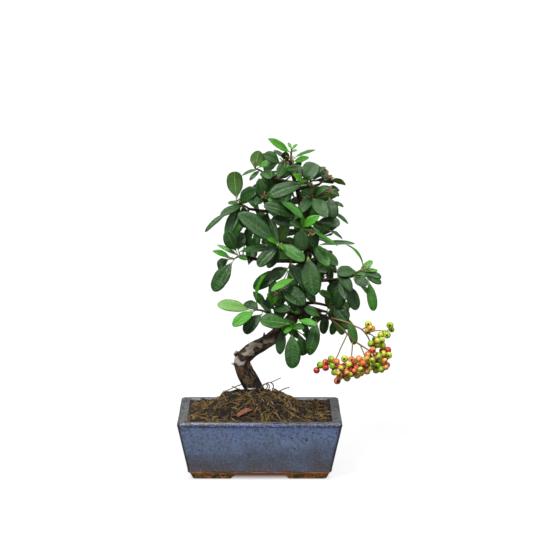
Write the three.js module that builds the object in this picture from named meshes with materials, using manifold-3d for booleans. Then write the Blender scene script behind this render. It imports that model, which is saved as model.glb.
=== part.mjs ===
// A narrowleaf firethorn grown as a bonsai, in a glazed stoneware pot.
// Millimetres, +Z up, front of the pot toward -Y.
import * as THREE from "three";
import Module from "manifold-3d";

const wasm = await Module();
wasm.setup();

// Driving dimensions of the pot
const POT_WIDTH = 180;
const POT_DEPTH = 130;
const POT_HEIGHT = 66;
const POT_CORNER = 5;
const RIM_WIDTH = 11;
const RIM_ROUND = 2.5;
const BASE_WIDTH = 158;
const GLAZE_EDGE = 9.7;
const BASE_STEP = 2.5;
const FOOT_HEIGHT = 7;
const FOOT_WIDTH = 19;
const FOOT_LEAN = 3.5;
const FLOOR_TOP = 14;
const WALL = 9;
const FRONT_OPENING = 64;
const SIDE_OPENING = 40;
const DRAIN_X = 42;
const DRAIN_RADIUS = 7;
const BASE_CORNER = POT_CORNER - 1.5;
const INNER_CORNER = POT_CORNER - 2;
const FOOT_CORNER = 6;
const FOOT_TOP_WIDTH = BASE_WIDTH - 2 * BASE_STEP;
const INNER_TOP_WIDTH = POT_WIDTH - 2 * RIM_WIDTH;
const INNER_FLOOR_WIDTH = BASE_WIDTH - 2 * WALL;

// Driving dimensions of the plant
const MOUND_MIDDLE = [-6, -8];
const MOUND_RISE = 22;
const MOUND_REACH = [51, 38];
const MOUND_SHOULDER = 5;
const SOIL_EDGE = 64.5;
const SOIL_SLOPE = 18;
const SOIL_BUMP = 0.9;
const BLADE_THICKNESS = 0.7;
const BERRY_RADIUS = 3.4;
const TWIG_RADIUS = 1.3;
const TWIG_TIP_RADIUS = 0.9;
const STALK_RADIUS = 0.8;
const MAIN_STALK_RADIUS = 1.15;
const SIDE_STALK_RADIUS = 0.9;
const STALK_TAPER = 0.3;
const WIRE_RADIUS = 0.9;

// Room kept between neighbours, and how far a joined piece reaches into the other
const GAP = 0.3;
const LEAF_GAP = 0.4;
const SUNK = 0.5;

// The tree is laid out as it looks from the front: each place is millimetres across and up on the
// upright plane through the middle of the pot, and millimetres behind that plane, along the line of
// sight from here.
const EYE = new THREE.Vector3(7, -2200, 592);

function spot([across, up, behind]) {
  return new THREE.Vector3(across, 0, up).lerp(EYE, behind / EYE.y);
}

// Repeatable draws between 0 and 1
function draws(seed) {
  let state = seed >>> 0;
  return () => {
    state = (state + 0x6d2b79f5) >>> 0;
    let t = state;
    t = Math.imul(t ^ (t >>> 15), t | 1);
    t ^= t + Math.imul(t ^ (t >>> 7), t | 61);
    return ((t ^ (t >>> 14)) >>> 0) / 4294967296;
  };
}

// Solids

function toSolid(vertices, triangles) {
  return new wasm.Manifold(
    new wasm.Mesh({
      numProp: 3,
      vertProperties: new Float32Array(vertices.flatMap((v) => [v.x, v.y, v.z])),
      triVerts: new Uint32Array(triangles.flat()),
    }),
  );
}

// A closed solid through rings of equal length; a peaked one ends in a point at its last ring's middle
function loft(rings, peaked = false) {
  const count = rings[0].length;
  const vertices = rings.flat();
  const triangles = [];
  for (let r = 0; r + 1 < rings.length; r++) {
    for (let i = 0; i < count; i++) {
      const a = r * count + i;
      const b = r * count + ((i + 1) % count);
      triangles.push([a, b, b + count], [a, b + count, a + count]);
    }
  }
  const top = (rings.length - 1) * count;
  for (let i = 1; i + 1 < count; i++) {
    triangles.push([0, i + 1, i]);
    if (!peaked) triangles.push([top, top + i, top + i + 1]);
  }
  if (peaked) {
    const sum = rings.at(-1).reduce((total, v) => total.add(v), new THREE.Vector3());
    const peak = vertices.push(sum.divideScalar(count)) - 1;
    for (let i = 0; i < count; i++) {
      triangles.push([peak, top + i, top + ((i + 1) % count)]);
    }
  }
  return toSolid(vertices, triangles);
}

// A rectangle with rounded corners at height z, its straight sides in the given numbers of steps
function roundedRing(width, depth, corner, z, widthSteps = 1, depthSteps = 1) {
  const arcs = [0, 1, 2, 3].map((quarter) => {
    const middle = ((quarter + 0.5) * Math.PI) / 2;
    const x = Math.sign(Math.cos(middle)) * (width / 2 - corner);
    const y = Math.sign(Math.sin(middle)) * (depth / 2 - corner);
    return [0, 1, 2, 3].map((i) => {
      const angle = ((quarter + i / 3) * Math.PI) / 2;
      return new THREE.Vector3(x + corner * Math.cos(angle), y + corner * Math.sin(angle), z);
    });
  });
  return arcs.flatMap((arc, quarter) => {
    const next = arcs[(quarter + 1) % 4][0];
    const steps = quarter % 2 === 0 ? widthSteps : depthSteps;
    const straight = [];
    for (let i = 1; i < steps; i++) {
      straight.push(arc[3].clone().lerp(next, i / steps));
    }
    return [...arc, ...straight];
  });
}

// A round stem along a smooth line through the points, with a radius at each of them
function stem(points, radii, sides, stepsPerSpan, swell = () => 1) {
  const curve = new THREE.CatmullRomCurve3(points, false, "centripetal");
  const count = (points.length - 1) * stepsPerSpan;
  const rings = [];
  const side = new THREE.Vector3();
  for (let i = 0; i <= count; i++) {
    const t = i / count;
    const along = curve.getTangent(t);
    if (i === 0) side.set(1, 0, 0);
    if (i === 0 && Math.abs(along.x) > 0.8) side.set(0, 1, 0);
    side.addScaledVector(along, -side.dot(along)).normalize();
    const other = new THREE.Vector3().crossVectors(along, side);
    const place = t * (radii.length - 1);
    const low = Math.min(Math.floor(place), radii.length - 2);
    const radius = THREE.MathUtils.lerp(radii[low], radii[low + 1], place - low);
    const centre = curve.getPoint(t);
    const ring = [];
    for (let k = 0; k < sides; k++) {
      const angle = (2 * Math.PI * k) / sides;
      const reach = radius * swell(angle, t);
      ring.push(
        centre
          .clone()
          .addScaledVector(side, reach * Math.cos(angle))
          .addScaledVector(other, reach * Math.sin(angle)),
      );
    }
    rings.push(ring);
  }
  return loft(rings);
}

// A closed three.js geometry around the origin, turned into a solid at a place
function solidFrom(geometry, place) {
  const position = geometry.getAttribute("position");
  const seen = new Map();
  const vertices = [];
  const number = [];
  for (let i = 0; i < position.count; i++) {
    const v = new THREE.Vector3().fromBufferAttribute(position, i);
    const key = [v.x, v.y, v.z].map((n) => Math.round(n * 1e4)).join();
    if (!seen.has(key)) seen.set(key, vertices.push(v.add(place)) - 1);
    number.push(seen.get(key));
  }
  const order = geometry.index ? [...geometry.index.array] : number.map((_, i) => i);
  const triangles = [];
  for (let i = 0; i < order.length; i += 3) {
    const corners = [number[order[i]], number[order[i + 1]], number[order[i + 2]]];
    if (new Set(corners).size === 3) triangles.push(corners);
  }
  return toSolid(vertices, triangles);
}

function joined(solids) {
  return solids.reduce((whole, next) => whole.add(next));
}

// The largest piece, where a cut leaves crumbs
function largest(solid) {
  return solid.decompose().reduce((best, next) => (next.volume() > best.volume() ? next : best));
}

function nearBoxes(a, b, room) {
  return [0, 1, 2].every((k) => a.min[k] - room < b.max[k] && b.min[k] - room < a.max[k]);
}

// Pot

// Rounded rings of the pot's width, each as much shorter from front to back as the pot is
function potRing(width, corner, z, widthSteps, depthSteps) {
  return roundedRing(width, width - (POT_WIDTH - POT_DEPTH), corner, z, widthSteps, depthSteps);
}

function potBody() {
  return loft([
    potRing(FOOT_TOP_WIDTH, BASE_CORNER, FOOT_HEIGHT),
    potRing(BASE_WIDTH, BASE_CORNER, GLAZE_EDGE),
    potRing(POT_WIDTH - 1, POT_CORNER, POT_HEIGHT - 2 * RIM_ROUND),
    potRing(POT_WIDTH, POT_CORNER, POT_HEIGHT - RIM_ROUND),
    potRing(POT_WIDTH - 0.6 * RIM_ROUND, POT_CORNER, POT_HEIGHT - 0.3 * RIM_ROUND),
    potRing(POT_WIDTH - 1.8 * RIM_ROUND, POT_CORNER - 1, POT_HEIGHT),
    potRing(INNER_TOP_WIDTH + 1, INNER_CORNER, POT_HEIGHT),
    potRing(INNER_TOP_WIDTH - 0.5, INNER_CORNER, POT_HEIGHT - 1),
    potRing(INNER_FLOOR_WIDTH, INNER_CORNER, FLOOR_TOP),
  ]);
}

// A frame of feet under the base, cut open in the middle of each side
function potFeet() {
  const frame = loft([
    potRing(FOOT_TOP_WIDTH - 2 * FOOT_LEAN, BASE_CORNER, 0),
    potRing(FOOT_TOP_WIDTH, BASE_CORNER, FOOT_HEIGHT),
    potRing(FOOT_TOP_WIDTH, BASE_CORNER, FOOT_HEIGHT + SUNK),
  ]);
  const inside = loft([
    potRing(FOOT_TOP_WIDTH - 2 * FOOT_WIDTH, FOOT_CORNER, -1),
    potRing(FOOT_TOP_WIDTH - 2 * FOOT_WIDTH, FOOT_CORNER, FOOT_HEIGHT),
  ]);
  // Each opening narrows upward as much as the foot is high
  const openings = [
    [FRONT_OPENING + 2, -1],
    [FRONT_OPENING - 2 * FOOT_HEIGHT, FOOT_HEIGHT],
  ];
  const narrower = FRONT_OPENING - SIDE_OPENING;
  const front = loft(openings.map(([gap, z]) => roundedRing(gap, 2 * POT_DEPTH, 0.5, z)));
  const sides = loft(openings.map(([gap, z]) => roundedRing(2 * POT_WIDTH, gap - narrower, 0.5, z)));
  return frame.subtract(inside).subtract(front).subtract(sides);
}

function drainHole(x, radius, bottom, top) {
  const geometry = new THREE.CylinderGeometry(radius, radius, top - bottom, 14);
  geometry.rotateX(Math.PI / 2);
  return solidFrom(geometry, new THREE.Vector3(x, 0, (bottom + top) / 2));
}

function pot() {
  let body = potBody().add(potFeet());
  for (const x of [-DRAIN_X, DRAIN_X]) {
    body = body.subtract(drainHole(x, DRAIN_RADIUS, FOOT_HEIGHT - 2, FLOOR_TOP + 2));
  }
  return body;
}

// Plastic mesh over each drainage hole, on the floor of the pot
const SCREEN_SIZE = 24;
const SCREEN_THICKNESS = 1;
const SCREEN_OPENING = 5;
const SCREEN_PITCH = 7;

function plate(x, size, bottom, thickness) {
  const geometry = new THREE.BoxGeometry(size, size, thickness);
  return solidFrom(geometry, new THREE.Vector3(x, 0, bottom + thickness / 2));
}

function drainScreen(x) {
  let screen = plate(x, SCREEN_SIZE, FLOOR_TOP + GAP, SCREEN_THICKNESS);
  for (const i of [-1, 0, 1]) {
    for (const j of [-1, 0, 1]) {
      const geometry = new THREE.BoxGeometry(SCREEN_OPENING, SCREEN_OPENING, 3 * SCREEN_THICKNESS);
      const place = new THREE.Vector3(x + i * SCREEN_PITCH, j * SCREEN_PITCH, FLOOR_TOP + GAP);
      screen = screen.subtract(solidFrom(geometry, place));
    }
  }
  return screen;
}

// Soil, heaped toward the trunk

function soilHeight(x, y) {
  const away = Math.hypot((x - MOUND_MIDDLE[0]) / MOUND_REACH[0], (y - MOUND_MIDDLE[1]) / MOUND_REACH[1]);
  const bumps = Math.sin(0.31 * x + 1) * Math.sin(0.27 * y + 2) + 0.6 * Math.sin(0.13 * x - 0.19 * y);
  const inward = Math.min(POT_DEPTH / 2 - RIM_WIDTH - Math.abs(y), POT_WIDTH / 2 - RIM_WIDTH - Math.abs(x));
  const settled = THREE.MathUtils.smoothstep(inward, 0, SOIL_SLOPE);
  const mound = MOUND_RISE * Math.exp(-(away ** MOUND_SHOULDER));
  return SOIL_EDGE + settled * (mound + SOIL_BUMP * bumps);
}

function soilBody() {
  const slope = (INNER_TOP_WIDTH - 0.5 - INNER_FLOOR_WIDTH) / (POT_HEIGHT - 1 - FLOOR_TOP);
  const room = 2 * GAP + 0.1;
  const wallRing = (z) => potRing(INNER_FLOOR_WIDTH + slope * (z - FLOOR_TOP) - room, INNER_CORNER, z, 5, 3);
  const edge = wallRing(SOIL_EDGE - 0.5);
  const rings = [wallRing(FLOOR_TOP + GAP), edge];
  for (const share of [0.94, 0.76, 0.58, 0.36]) {
    rings.push(
      edge.map((v) => {
        const x = THREE.MathUtils.lerp(MOUND_MIDDLE[0], v.x, share);
        const y = THREE.MathUtils.lerp(MOUND_MIDDLE[1], v.y, share);
        return new THREE.Vector3(x, y, soilHeight(x, y));
      }),
    );
  }
  return loft(rings, true);
}

// Wood: the trunk from its roots to its top, and the branches, as across, up, behind and radius

const TRUNK = [
  [-6, 42, 6, 10],
  [-5, 64, 6, 18],
  [-4, 78, 6, 14],
  [-6, 89, 5, 10],
  [-12.2, 101, 2, 9.8],
  [-18.1, 113, -2, 9.2],
  [-20, 123, -4, 8.5],
  [-10.8, 133, -3, 7.9],
  [2, 140, 0, 7.6],
  [15, 148, 3, 7.4],
  [27, 158, 5, 6.9],
  [37, 171, 6, 6.3],
  [42, 186, 6, 5.7],
  [48, 206, 4, 5.1],
  [52, 232, 2, 4.5],
  [51, 257, 3, 3.9],
  [47, 281, 4, 3.4],
  [44, 301, 4, 2.8],
  [39, 320, 3, 2.3],
  [34, 337, 2, 1.8],
  [34, 347, 1, 1.3],
];

// Share of the trunk's length that the roots take
const ROOT_SHARE = 0.16;

const BRANCHES = {
  lowLeft: [[27, 158, 5, 3.4], [18, 170, -14, 2.6], [7, 177, -26, 2]],
  middleLeft: [
    [51, 233, 2, 3], [33, 234, -12, 2.2], [11, 234, -20, 2], [-9, 237, -22, 1.8], [-20, 240, -23, 1.6],
  ],
  upperLeft: [[47, 281, 4, 2.6], [29, 286, -8, 2], [7, 289, -14, 1.8], [-13, 292, -16, 1.5]],
  topLeft: [[39, 320, 3, 1.9], [22, 324, -7, 1.6], [7, 328, -9, 1.4]],
  middleRight: [[48, 207, 4, 3], [64, 212, -4, 2.2], [84, 213, -9, 2], [102, 217, -12, 1.6]],
  lowRight: [[42, 186, 6, 2.6], [60, 187, -2, 1.6], [75, 184, -8, 1.4]],
  upperRight: [[45, 296, 4, 2.2], [57, 303, -6, 1.7], [69, 308, -10, 1.5]],
  topRight: [[41, 313, 3, 1.9], [54, 316, -12, 1.5], [66, 319, -12, 1.3]],
  fruiting: [[37, 171, 6, 3], [51, 178, -6, 2.2], [64, 175, -14, 1.8], [78, 169, -18, 1.5]],
  front: [[51, 257, 3, 2.6], [47, 262, -20, 1.9], [46, 267, -38, 1.5]],
  frontLeft: [[52, 237, 2, 2.8], [38, 241, -20, 2], [23, 246, -36, 1.6]],
  lowFront: [[27, 158, 5, 3], [33, 158, -14, 2.1], [37, 159, -24, 1.6]],
  backUpperLeft: [[47, 281, 4, 2.6], [36, 288, 22, 2], [18, 292, 38, 1.5]],
  backMiddleRight: [[52, 232, 2, 3], [60, 236, 22, 2.1], [66, 240, 38, 1.5]],
  backMiddleLeft: [[51, 250, 3, 2.8], [38, 252, 24, 2], [22, 256, 42, 1.5]],
  backRight: [[48, 207, 4, 3], [60, 211, 24, 2.1], [78, 214, 38, 1.5]],
  backTop: [[39, 320, 3, 2], [48, 325, 18, 1.5], [56, 327, 30, 1.3]],
  backLowLeft: [[37, 171, 6, 3.2], [29, 178, 26, 2.2], [18, 181, 38, 1.5]],
  backLowRight: [[42, 186, 6, 3], [56, 182, 24, 2.1], [73, 177, 36, 1.5]],
};

// Old pruning stubs: across, up, behind of root and tip, and the two radii
const STUBS = [
  [[-19, 124, -4], [-27, 131, -7], 4.4, 3],
  [[-20, 116, -3], [-31.5, 119, -6], 3.8, 0.9],
  [[4, 143, 0], [5, 154, -4], 2.6, 0.7],
  [[52, 238, 2], [54, 240, -9], 4.4, 3.8],
  [[-9, 95, 2], [-2, 102, 1], 3.6, 1.8],
];

// Ridged bark, with the roots as lobes at the foot
function bark(angle, t) {
  const broad = 0.07 * Math.sin(3 * angle + 9 * t) + 0.05 * Math.sin(5 * angle - 14 * t);
  const rings = 0.03 * Math.sin(40 * t);
  const foot = THREE.MathUtils.clamp(1 - t / ROOT_SHARE, 0, 1);
  return 1 + broad + rings + 0.16 * foot * Math.cos(4 * angle + 0.6);
}

function wood(grow) {
  const path = (stations, sides, steps, swell) =>
    stem(
      stations.map(spot),
      stations.map((station) => station[3] + grow),
      sides,
      steps,
      swell,
    );
  const pieces = [path(TRUNK, 9, 1, bark)];
  for (const stations of Object.values(BRANCHES)) {
    pieces.push(path(stations, 4, 1));
  }
  for (const [from, to, wide, narrow] of STUBS) {
    pieces.push(stem([spot(from), spot(to)], [wide + grow, narrow + grow], 7, 1));
  }
  return joined(pieces);
}

// Anchor wire over the foot of the trunk: from the top of its arch to a drainage hole, as share of the
// way across, place from front to back, and height
const WIRE_TOP_X = -9;
const WIRE_WAY = [
  [0, -8.8, 92],
  [0.17, -8, 91],
  [0.4, -3, 84],
  [0.58, 0, 68],
  [0.82, 0, 40],
  [1, 0, FLOOR_TOP + 6],
  [1, 0, FOOT_HEIGHT + 2],
];
const WIRE_TAIL = [
  [1, 1, FOOT_HEIGHT - 2.4],
  [1, 12, FOOT_HEIGHT - 2.4],
];

function anchorWire(grow) {
  const side = (holeX) =>
    [...WIRE_WAY, ...WIRE_TAIL].map(
      ([share, y, z]) => new THREE.Vector3(THREE.MathUtils.lerp(WIRE_TOP_X, holeX, share), y, z),
    );
  const points = [...side(-DRAIN_X).slice(1).reverse(), ...side(DRAIN_X)];
  const radii = points.map(() => WIRE_RADIUS + grow);
  return stem(points, radii, 5, 1);
}

// A dry piece of bark lying on the soil, curled both ways and turned a little
const CHIP_PLACE = [-17, -39];
const CHIP_SIZE = [18, 8, 1.2];
const CHIP_CURL = 0.012;
const CHIP_TURN = 0.35;
const CHIP_TILT = 0.5;

function barkChip(grow) {
  const [x, y] = CHIP_PLACE;
  const geometry = new THREE.BoxGeometry(...CHIP_SIZE.map((n) => n + 2 * grow), 4, 2, 1);
  const position = geometry.getAttribute("position");
  for (let i = 0; i < position.count; i++) {
    const px = position.getX(i);
    const py = position.getY(i);
    const curled = position.getZ(i) - CHIP_CURL * (px * px - 4 * py * py);
    position.setXYZ(i, px + 0.12 * py, py * (1 - 0.002 * px * px), curled);
  }
  geometry.rotateZ(CHIP_TURN);
  geometry.rotateX(CHIP_TILT);
  return solidFrom(geometry, new THREE.Vector3(x, y, soilHeight(x, y) + CHIP_SIZE[2]));
}

// Leaves

// Stations from base to tip: share of the length, share of the width
const BLADE_SHAPES = {
  large: [[0, 0], [0.13, 0.2], [0.5, 1], [0.86, 0.78], [1, 0.22]],
  small: [[0, 0], [0.42, 0.95], [0.84, 0.85], [1, 0.25]],
  tiny: [[0, 0], [0.6, 1], [1, 0.25]],
};
const FOLD = 0.26;
const FOLDED_SHARE = 0.5;
const FOLDED_WIDTH = 15;
const STALK_WIDTH = 0.9;

// The way a leaf faces before it leans: toward the side given and up
function faceOf(chord, outward) {
  const face = outward.clone().multiplyScalar(0.8).add(new THREE.Vector3(0, 0, 0.6));
  return face.addScaledVector(chord, -face.dot(chord)).normalize();
}

// Where a leaf runs: at each station its centre, the way up from its face, and half its width
function bladeStations(leaf, shape) {
  const chord = leaf.tip.clone().sub(leaf.base);
  const length = chord.length();
  chord.normalize();
  const hinge = chord.clone().multiplyScalar(chord.x < 0 ? 1 : -1);
  const face = faceOf(chord, leaf.outward).applyAxisAngle(hinge, THREE.MathUtils.degToRad(leaf.lean));
  const half = leaf.arch / 2;
  const radius = (length * half) / Math.sin(half) / leaf.arch;
  const heading = chord.clone().multiplyScalar(Math.cos(half)).addScaledVector(face, Math.sin(half));
  const upward = face.clone().multiplyScalar(Math.cos(half)).addScaledVector(chord, -Math.sin(half));
  const side = new THREE.Vector3().crossVectors(chord, face);
  const stations = shape.map(([share, wide]) => {
    const turn = leaf.arch * share;
    return {
      centre: leaf.base
        .clone()
        .addScaledVector(heading, radius * Math.sin(turn))
        .addScaledVector(upward, radius * (Math.cos(turn) - 1)),
      normal: upward.clone().multiplyScalar(Math.cos(turn)).addScaledVector(heading, Math.sin(turn)),
      side,
      reach: Math.max(leaf.width * wide, STALK_WIDTH) / 2,
      folded: wide > FOLDED_SHARE && leaf.width >= FOLDED_WIDTH && shape === BLADE_SHAPES.large,
    };
  });
  if (leaf.stalk) stations.unshift(stalkStation(leaf, heading, stations[0]));
  return stations;
}

// A leaf whose base stands off the twig begins with a stalk of its own
function stalkStation(leaf, heading, first) {
  const along = leaf.base.clone().sub(leaf.stalk).normalize();
  const square = (vector, direction) =>
    vector.clone().addScaledVector(direction, -vector.dot(direction)).normalize();
  const side = square(first.side, along);
  const normal = new THREE.Vector3().crossVectors(side, along);
  const bisector = along.clone().add(heading).normalize();
  first.side = square(side.clone().add(first.side), bisector);
  first.normal = new THREE.Vector3().crossVectors(first.side, bisector);
  return { centre: leaf.stalk, side, normal, reach: STALK_WIDTH / 2, folded: false };
}

// A blade of even thickness, bent along its length and folded along its midrib
function blade(stations) {
  const vertices = [];
  const rows = stations.map((station) => {
    const lanes = station.folded ? [-1, 0, 1] : [-1, 1];
    return [-0.5, 0.5].map((skin) =>
      lanes.map((lane) => {
        const lift = Math.abs(lane) * (station.folded ? station.reach * FOLD : 0) + skin * BLADE_THICKNESS;
        const place = station.centre
          .clone()
          .addScaledVector(station.side, lane * station.reach)
          .addScaledVector(station.normal, lift);
        return vertices.push(place) - 1;
      }),
    );
  });
  const triangles = [];
  const face = (corners, turned) => triangles.push(turned ? [corners[0], corners[2], corners[1]] : corners);
  const strip = (near, far, turned) => {
    if (near.length === far.length) {
      const middle = (near.length - 1) / 2;
      for (let i = 0; i + 1 < near.length; i++) {
        const mirrored = i >= middle;
        face(mirrored ? [near[i], near[i + 1], far[i]] : [near[i], near[i + 1], far[i + 1]], turned);
        face(mirrored ? [near[i + 1], far[i + 1], far[i]] : [near[i], far[i + 1], far[i]], turned);
      }
    } else if (near.length < far.length) {
      face([near[0], far[1], far[0]], turned);
      face([near[0], near[1], far[1]], turned);
      face([near[1], far[2], far[1]], turned);
    } else {
      face([near[0], near[1], far[0]], turned);
      face([near[1], far[1], far[0]], turned);
      face([near[1], near[2], far[1]], turned);
    }
  };
  const edge = (nearLow, nearHigh, farLow, farHigh) => {
    triangles.push([nearLow, farLow, farHigh], [nearLow, farHigh, nearHigh]);
  };
  for (let i = 0; i + 1 < rows.length; i++) {
    const [low, high] = rows[i];
    const [nextLow, nextHigh] = rows[i + 1];
    strip(low, nextLow, true);
    strip(high, nextHigh, false);
    edge(high[0], low[0], nextHigh[0], nextLow[0]);
    edge(low.at(-1), high.at(-1), nextLow.at(-1), nextHigh.at(-1));
  }
  const cap = ([low, high], turned) => {
    for (let i = 0; i + 1 < low.length; i++) {
      face([low[i], low[i + 1], high[i + 1]], turned);
      face([low[i], high[i + 1], high[i]], turned);
    }
  };
  cap(rows[0], false);
  cap(rows.at(-1), true);
  const solid = toSolid(vertices, triangles);
  return solid.volume() < 0 ? toSolid(vertices, triangles.map(([a, b, c]) => [a, c, b])) : solid;
}

// Leafy sprays seen from the front. root: on the branch; tip: end of the twig. Each leaf: across,
// up, behind of its tip, width, then where they differ from the rule its lean, its base, its arch.
const FRONT_SPRAYS = {
  spray_apex: {
    root: [34, 345, 1], tip: [35, 359, 0],
    leaves: [
      [9, 369, -12, 9.5, 0, [33, 354, 0], 0.3], [31, 365, 5, 3.5], [41, 363, 3, 3], [41, 356, -5, 3.5],
      [61, 356.5, -6, 7, 30, [37, 348, -4], 0.2], [54, 348, -16, 8, 0, [37, 344, -6], 0.2],
    ],
  },
  spray_crown: {
    root: [34, 341, 2], tip: [28, 345, -16],
    leaves: [
      [29, 355, -26, 9], [15, 356, -8, 5.5, 15], [4, 351, -24, 14, 0, [22, 342, -16]],
      [49, 336, -36, 9, 0, [26, 335, -22]], [20, 326, -34, 12],
    ],
  },
  spray_top_left: {
    root: [8, 328, -9], tip: [-6, 336, -10],
    leaves: [
      [-1, 356, -6, 15, 180, [-6, 337, -10]], [17, 345, -24, 8, 0, [-2, 337, -14]], [-20, 328, -4, 5, 15],
      [-11, 323, -18, 5], [12, 325, -30, 13],
    ],
  },
  spray_upper_left: {
    root: [-12, 292, -16], tip: [-27, 297, -16],
    leaves: [
      [-28, 333, -14, 17, 180, [-25, 303, -15]], [-60, 266, -20, 7, 15, [-33, 289, -17]],
      [-3, 313, -28, 16], [-35, 298, -22, 5], [-36, 258, -26, 13], [-15, 271, -6, 14],
      [-43, 284, -34, 9],
    ],
  },
  spray_upper_left_inner: {
    root: [8, 289, -14], tip: [2, 304, -26],
    leaves: [[-6, 296, -36, 10], [-2, 324, -30, 15], [22, 283, -30, 13]],
  },
  spray_brow: {
    root: [54, 316, -12], tip: [47, 319, -34],
    leaves: [
      [10, 306, -42, 17], [36, 330, -42, 8], [61, 342, -16, 19], [72, 338, 2, 9], [56, 328, -36, 7],
    ],
  },
  spray_temple: {
    root: [29, 286, -8], tip: [19, 302, -40],
    leaves: [
      [46, 281, -54, 17, 40], [4, 295, -48, 15, 0, [42, 281, -38]], [9, 301, -46, 5.5],
      [20, 257, -34, 14, 150, [33, 276, -28]],
    ],
  },
  spray_face_left: {
    root: [24, 245, -34], tip: [19, 254, -42],
    leaves: [
      [-24, 287, -48, 21, 0, [18, 254, -44], 0.3], [49, 234, -54, 15], [8, 258, -52, 6], [12, 281, -30, 8],
      [27, 246, -56, 6], [-2, 228, -44, 14],
      [12, 231, -28, 13],
    ],
  },
  spray_face: {
    root: [46, 267, -36], tip: [47, 271, -46],
    leaves: [
      [66, 284, -52, 11], [47, 284, -50, 5], [46, 245, -44, 18], [63, 250, -38, 16], [86, 250, -44, 7, 40],
      [33, 277, -46, 8], [13, 281, -36, 14, 0, [40, 273, -36]],
    ],
  },
  spray_upper_right: {
    root: [68, 307, -10], tip: [79, 311, -10],
    leaves: [
      [87, 306, -8, 5.5], [81, 281, -22, 14, 0, [76, 305, -14]], [92, 294, -4, 6, 15, [78, 299, -8]],
      [86, 314, 4, 10],
    ],
  },
  spray_upper_right_inner: {
    root: [56, 303, -6], tip: [58, 303, -20],
    leaves: [[73, 283, -40, 17], [44, 288, -36, 12], [76, 317, -22, 9], [48, 312, -32, 9]],
  },
  spray_top_right: {
    root: [65, 319, -12], tip: [77, 324, -8],
    leaves: [[94, 318, -6, 10, 95], [79, 329, -8, 5], [69, 337, 4, 10]],
  },
  spray_shoulder: {
    root: [49, 272, 4], tip: [64, 277, -14],
    leaves: [
      [88, 274, -26, 14], [97, 275, -6, 5.5, 15, [78, 289, -10]], [91, 258, -4, 7, 30, [75, 268, -8]],
      [76, 294, 2, 12, 0, [62, 285, -8]],
    ],
  },
  spray_armpit: {
    root: [52, 243, 3], tip: [64, 251, -14],
    leaves: [[105, 253, -10, 7, 15], [76, 228, -34, 16], [86, 229, -18, 13]],
  },
  spray_hanging: {
    root: [52, 235, 2], tip: [53, 240, -38],
    leaves: [[60, 195, -50, 22, 0, [53, 239, -41], 0.3]],
  },
  spray_right_end: {
    root: [101, 217, -12], tip: [115, 223, -14],
    leaves: [
      [95, 252, -10, 8, 50, [114, 226, -14], 1], [85, 220, -30, 14, 0, [107, 222, -20], 0.3],
      [134, 215, -14, 8], [130, 223, -14, 5], [124, 234, -8, 7], [119, 207, -28, 12, 0, [103, 214, -20]],
      [126, 178, -20, 10.5, 0, [120, 212, -18]], [124, 193, -6, 7, 20, [108, 209, -10]],
    ],
  },
  spray_right: {
    root: [84, 213, -9], tip: [95, 209, -20],
    leaves: [
      [107, 179, -22, 14], [101, 199, -34, 13, 0, [84, 224, -24]], [86, 181, -14, 15], [77, 196, -6, 14],
      [95, 190, -32, 11],
    ],
  },
  spray_lower_right: {
    root: [74, 184, -8], tip: [83, 185, -8],
    leaves: [
      [96, 166, -16, 18], [105, 140, -14, 10, 0, [98, 170, -10]], [93, 152, -2, 11, 0, [79, 170, -6]],
      [70, 152, -4, 10, 0, [74, 176, -4]], [65, 200, -20, 9, 0, [81, 190, -12]],
    ],
  },
  spray_bottom_right: {
    root: [51, 178, -6], tip: [60, 171, -20],
    leaves: [[55, 128, -28, 15, 0, [63, 167, -24]], [49, 181, -28, 11, 0, [66, 172, -24]]],
  },
  spray_bottom: {
    root: [36, 159, -22], tip: [37, 160, -30],
    leaves: [
      [36, 113, -38, 17, 0, [35, 153, -33]], [22, 129, -32, 11, 0, [25, 159, -28]],
      [49, 128, -22, 12, 0, [43, 153, -29]], [0, 167, -42, 18, 0, [33, 163, -33]], [27, 153, -40, 7],
      [49, 158, -42, 10], [63, 162, -46, 8, 0, [42, 167, -36]],
    ],
  },
  spray_low_left: {
    root: [8, 176, -25], tip: [-9, 178, -30],
    leaves: [
      [-47, 185, -34, 14, 0, [-11, 179, -30]], [-30, 161, -40, 13, 0, [-6, 178, -32]],
      [-17, 153, -28, 14, 0, [3, 175, -28]], [-17, 187, -14, 11], [10, 223, -38, 10, 60, [-2, 181, -34], 1.1],
    ],
  },
  spray_low_inner: {
    root: [18, 170, -14], tip: [13, 185, -32],
    leaves: [[8, 198, -42, 5.5], [21, 194, -40, 5.5], [33, 178, -40, 12], [2, 190, -20, 8]],
  },
  spray_middle_low: {
    root: [38, 241, -20], tip: [31, 222, -26],
    leaves: [
      [-7, 203, -34, 15, 15, [26, 223, -26], 1.1], [9, 212, -28, 14], [50, 185, -40, 21, 0, [22, 206, -30]],
      [54, 198, -30, 16], [38, 177, -26, 13], [12, 200, -48, 9, 0, [38, 214, -36]],
    ],
  },
  spray_middle_left: {
    root: [-19, 240, -23], tip: [-28, 236, -24],
    leaves: [
      [-51, 200, -30, 17, 0, [-30, 233, -26], 0.3], [-46, 226, -12, 12, 0, [-34, 236, -20]],
      [-52, 245, -30, 7, 0, [-33, 238, -26]], [-37, 268, -28, 15, 0, [-26, 245, -25]], [-14, 235, -36, 6],
      [14, 247, -30, 15, 0, [-23, 244, -28]], [-47, 252, -14, 5], [-20, 266, -8, 15, 0, [-24, 246, -16]],
    ],
  },
};

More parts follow.
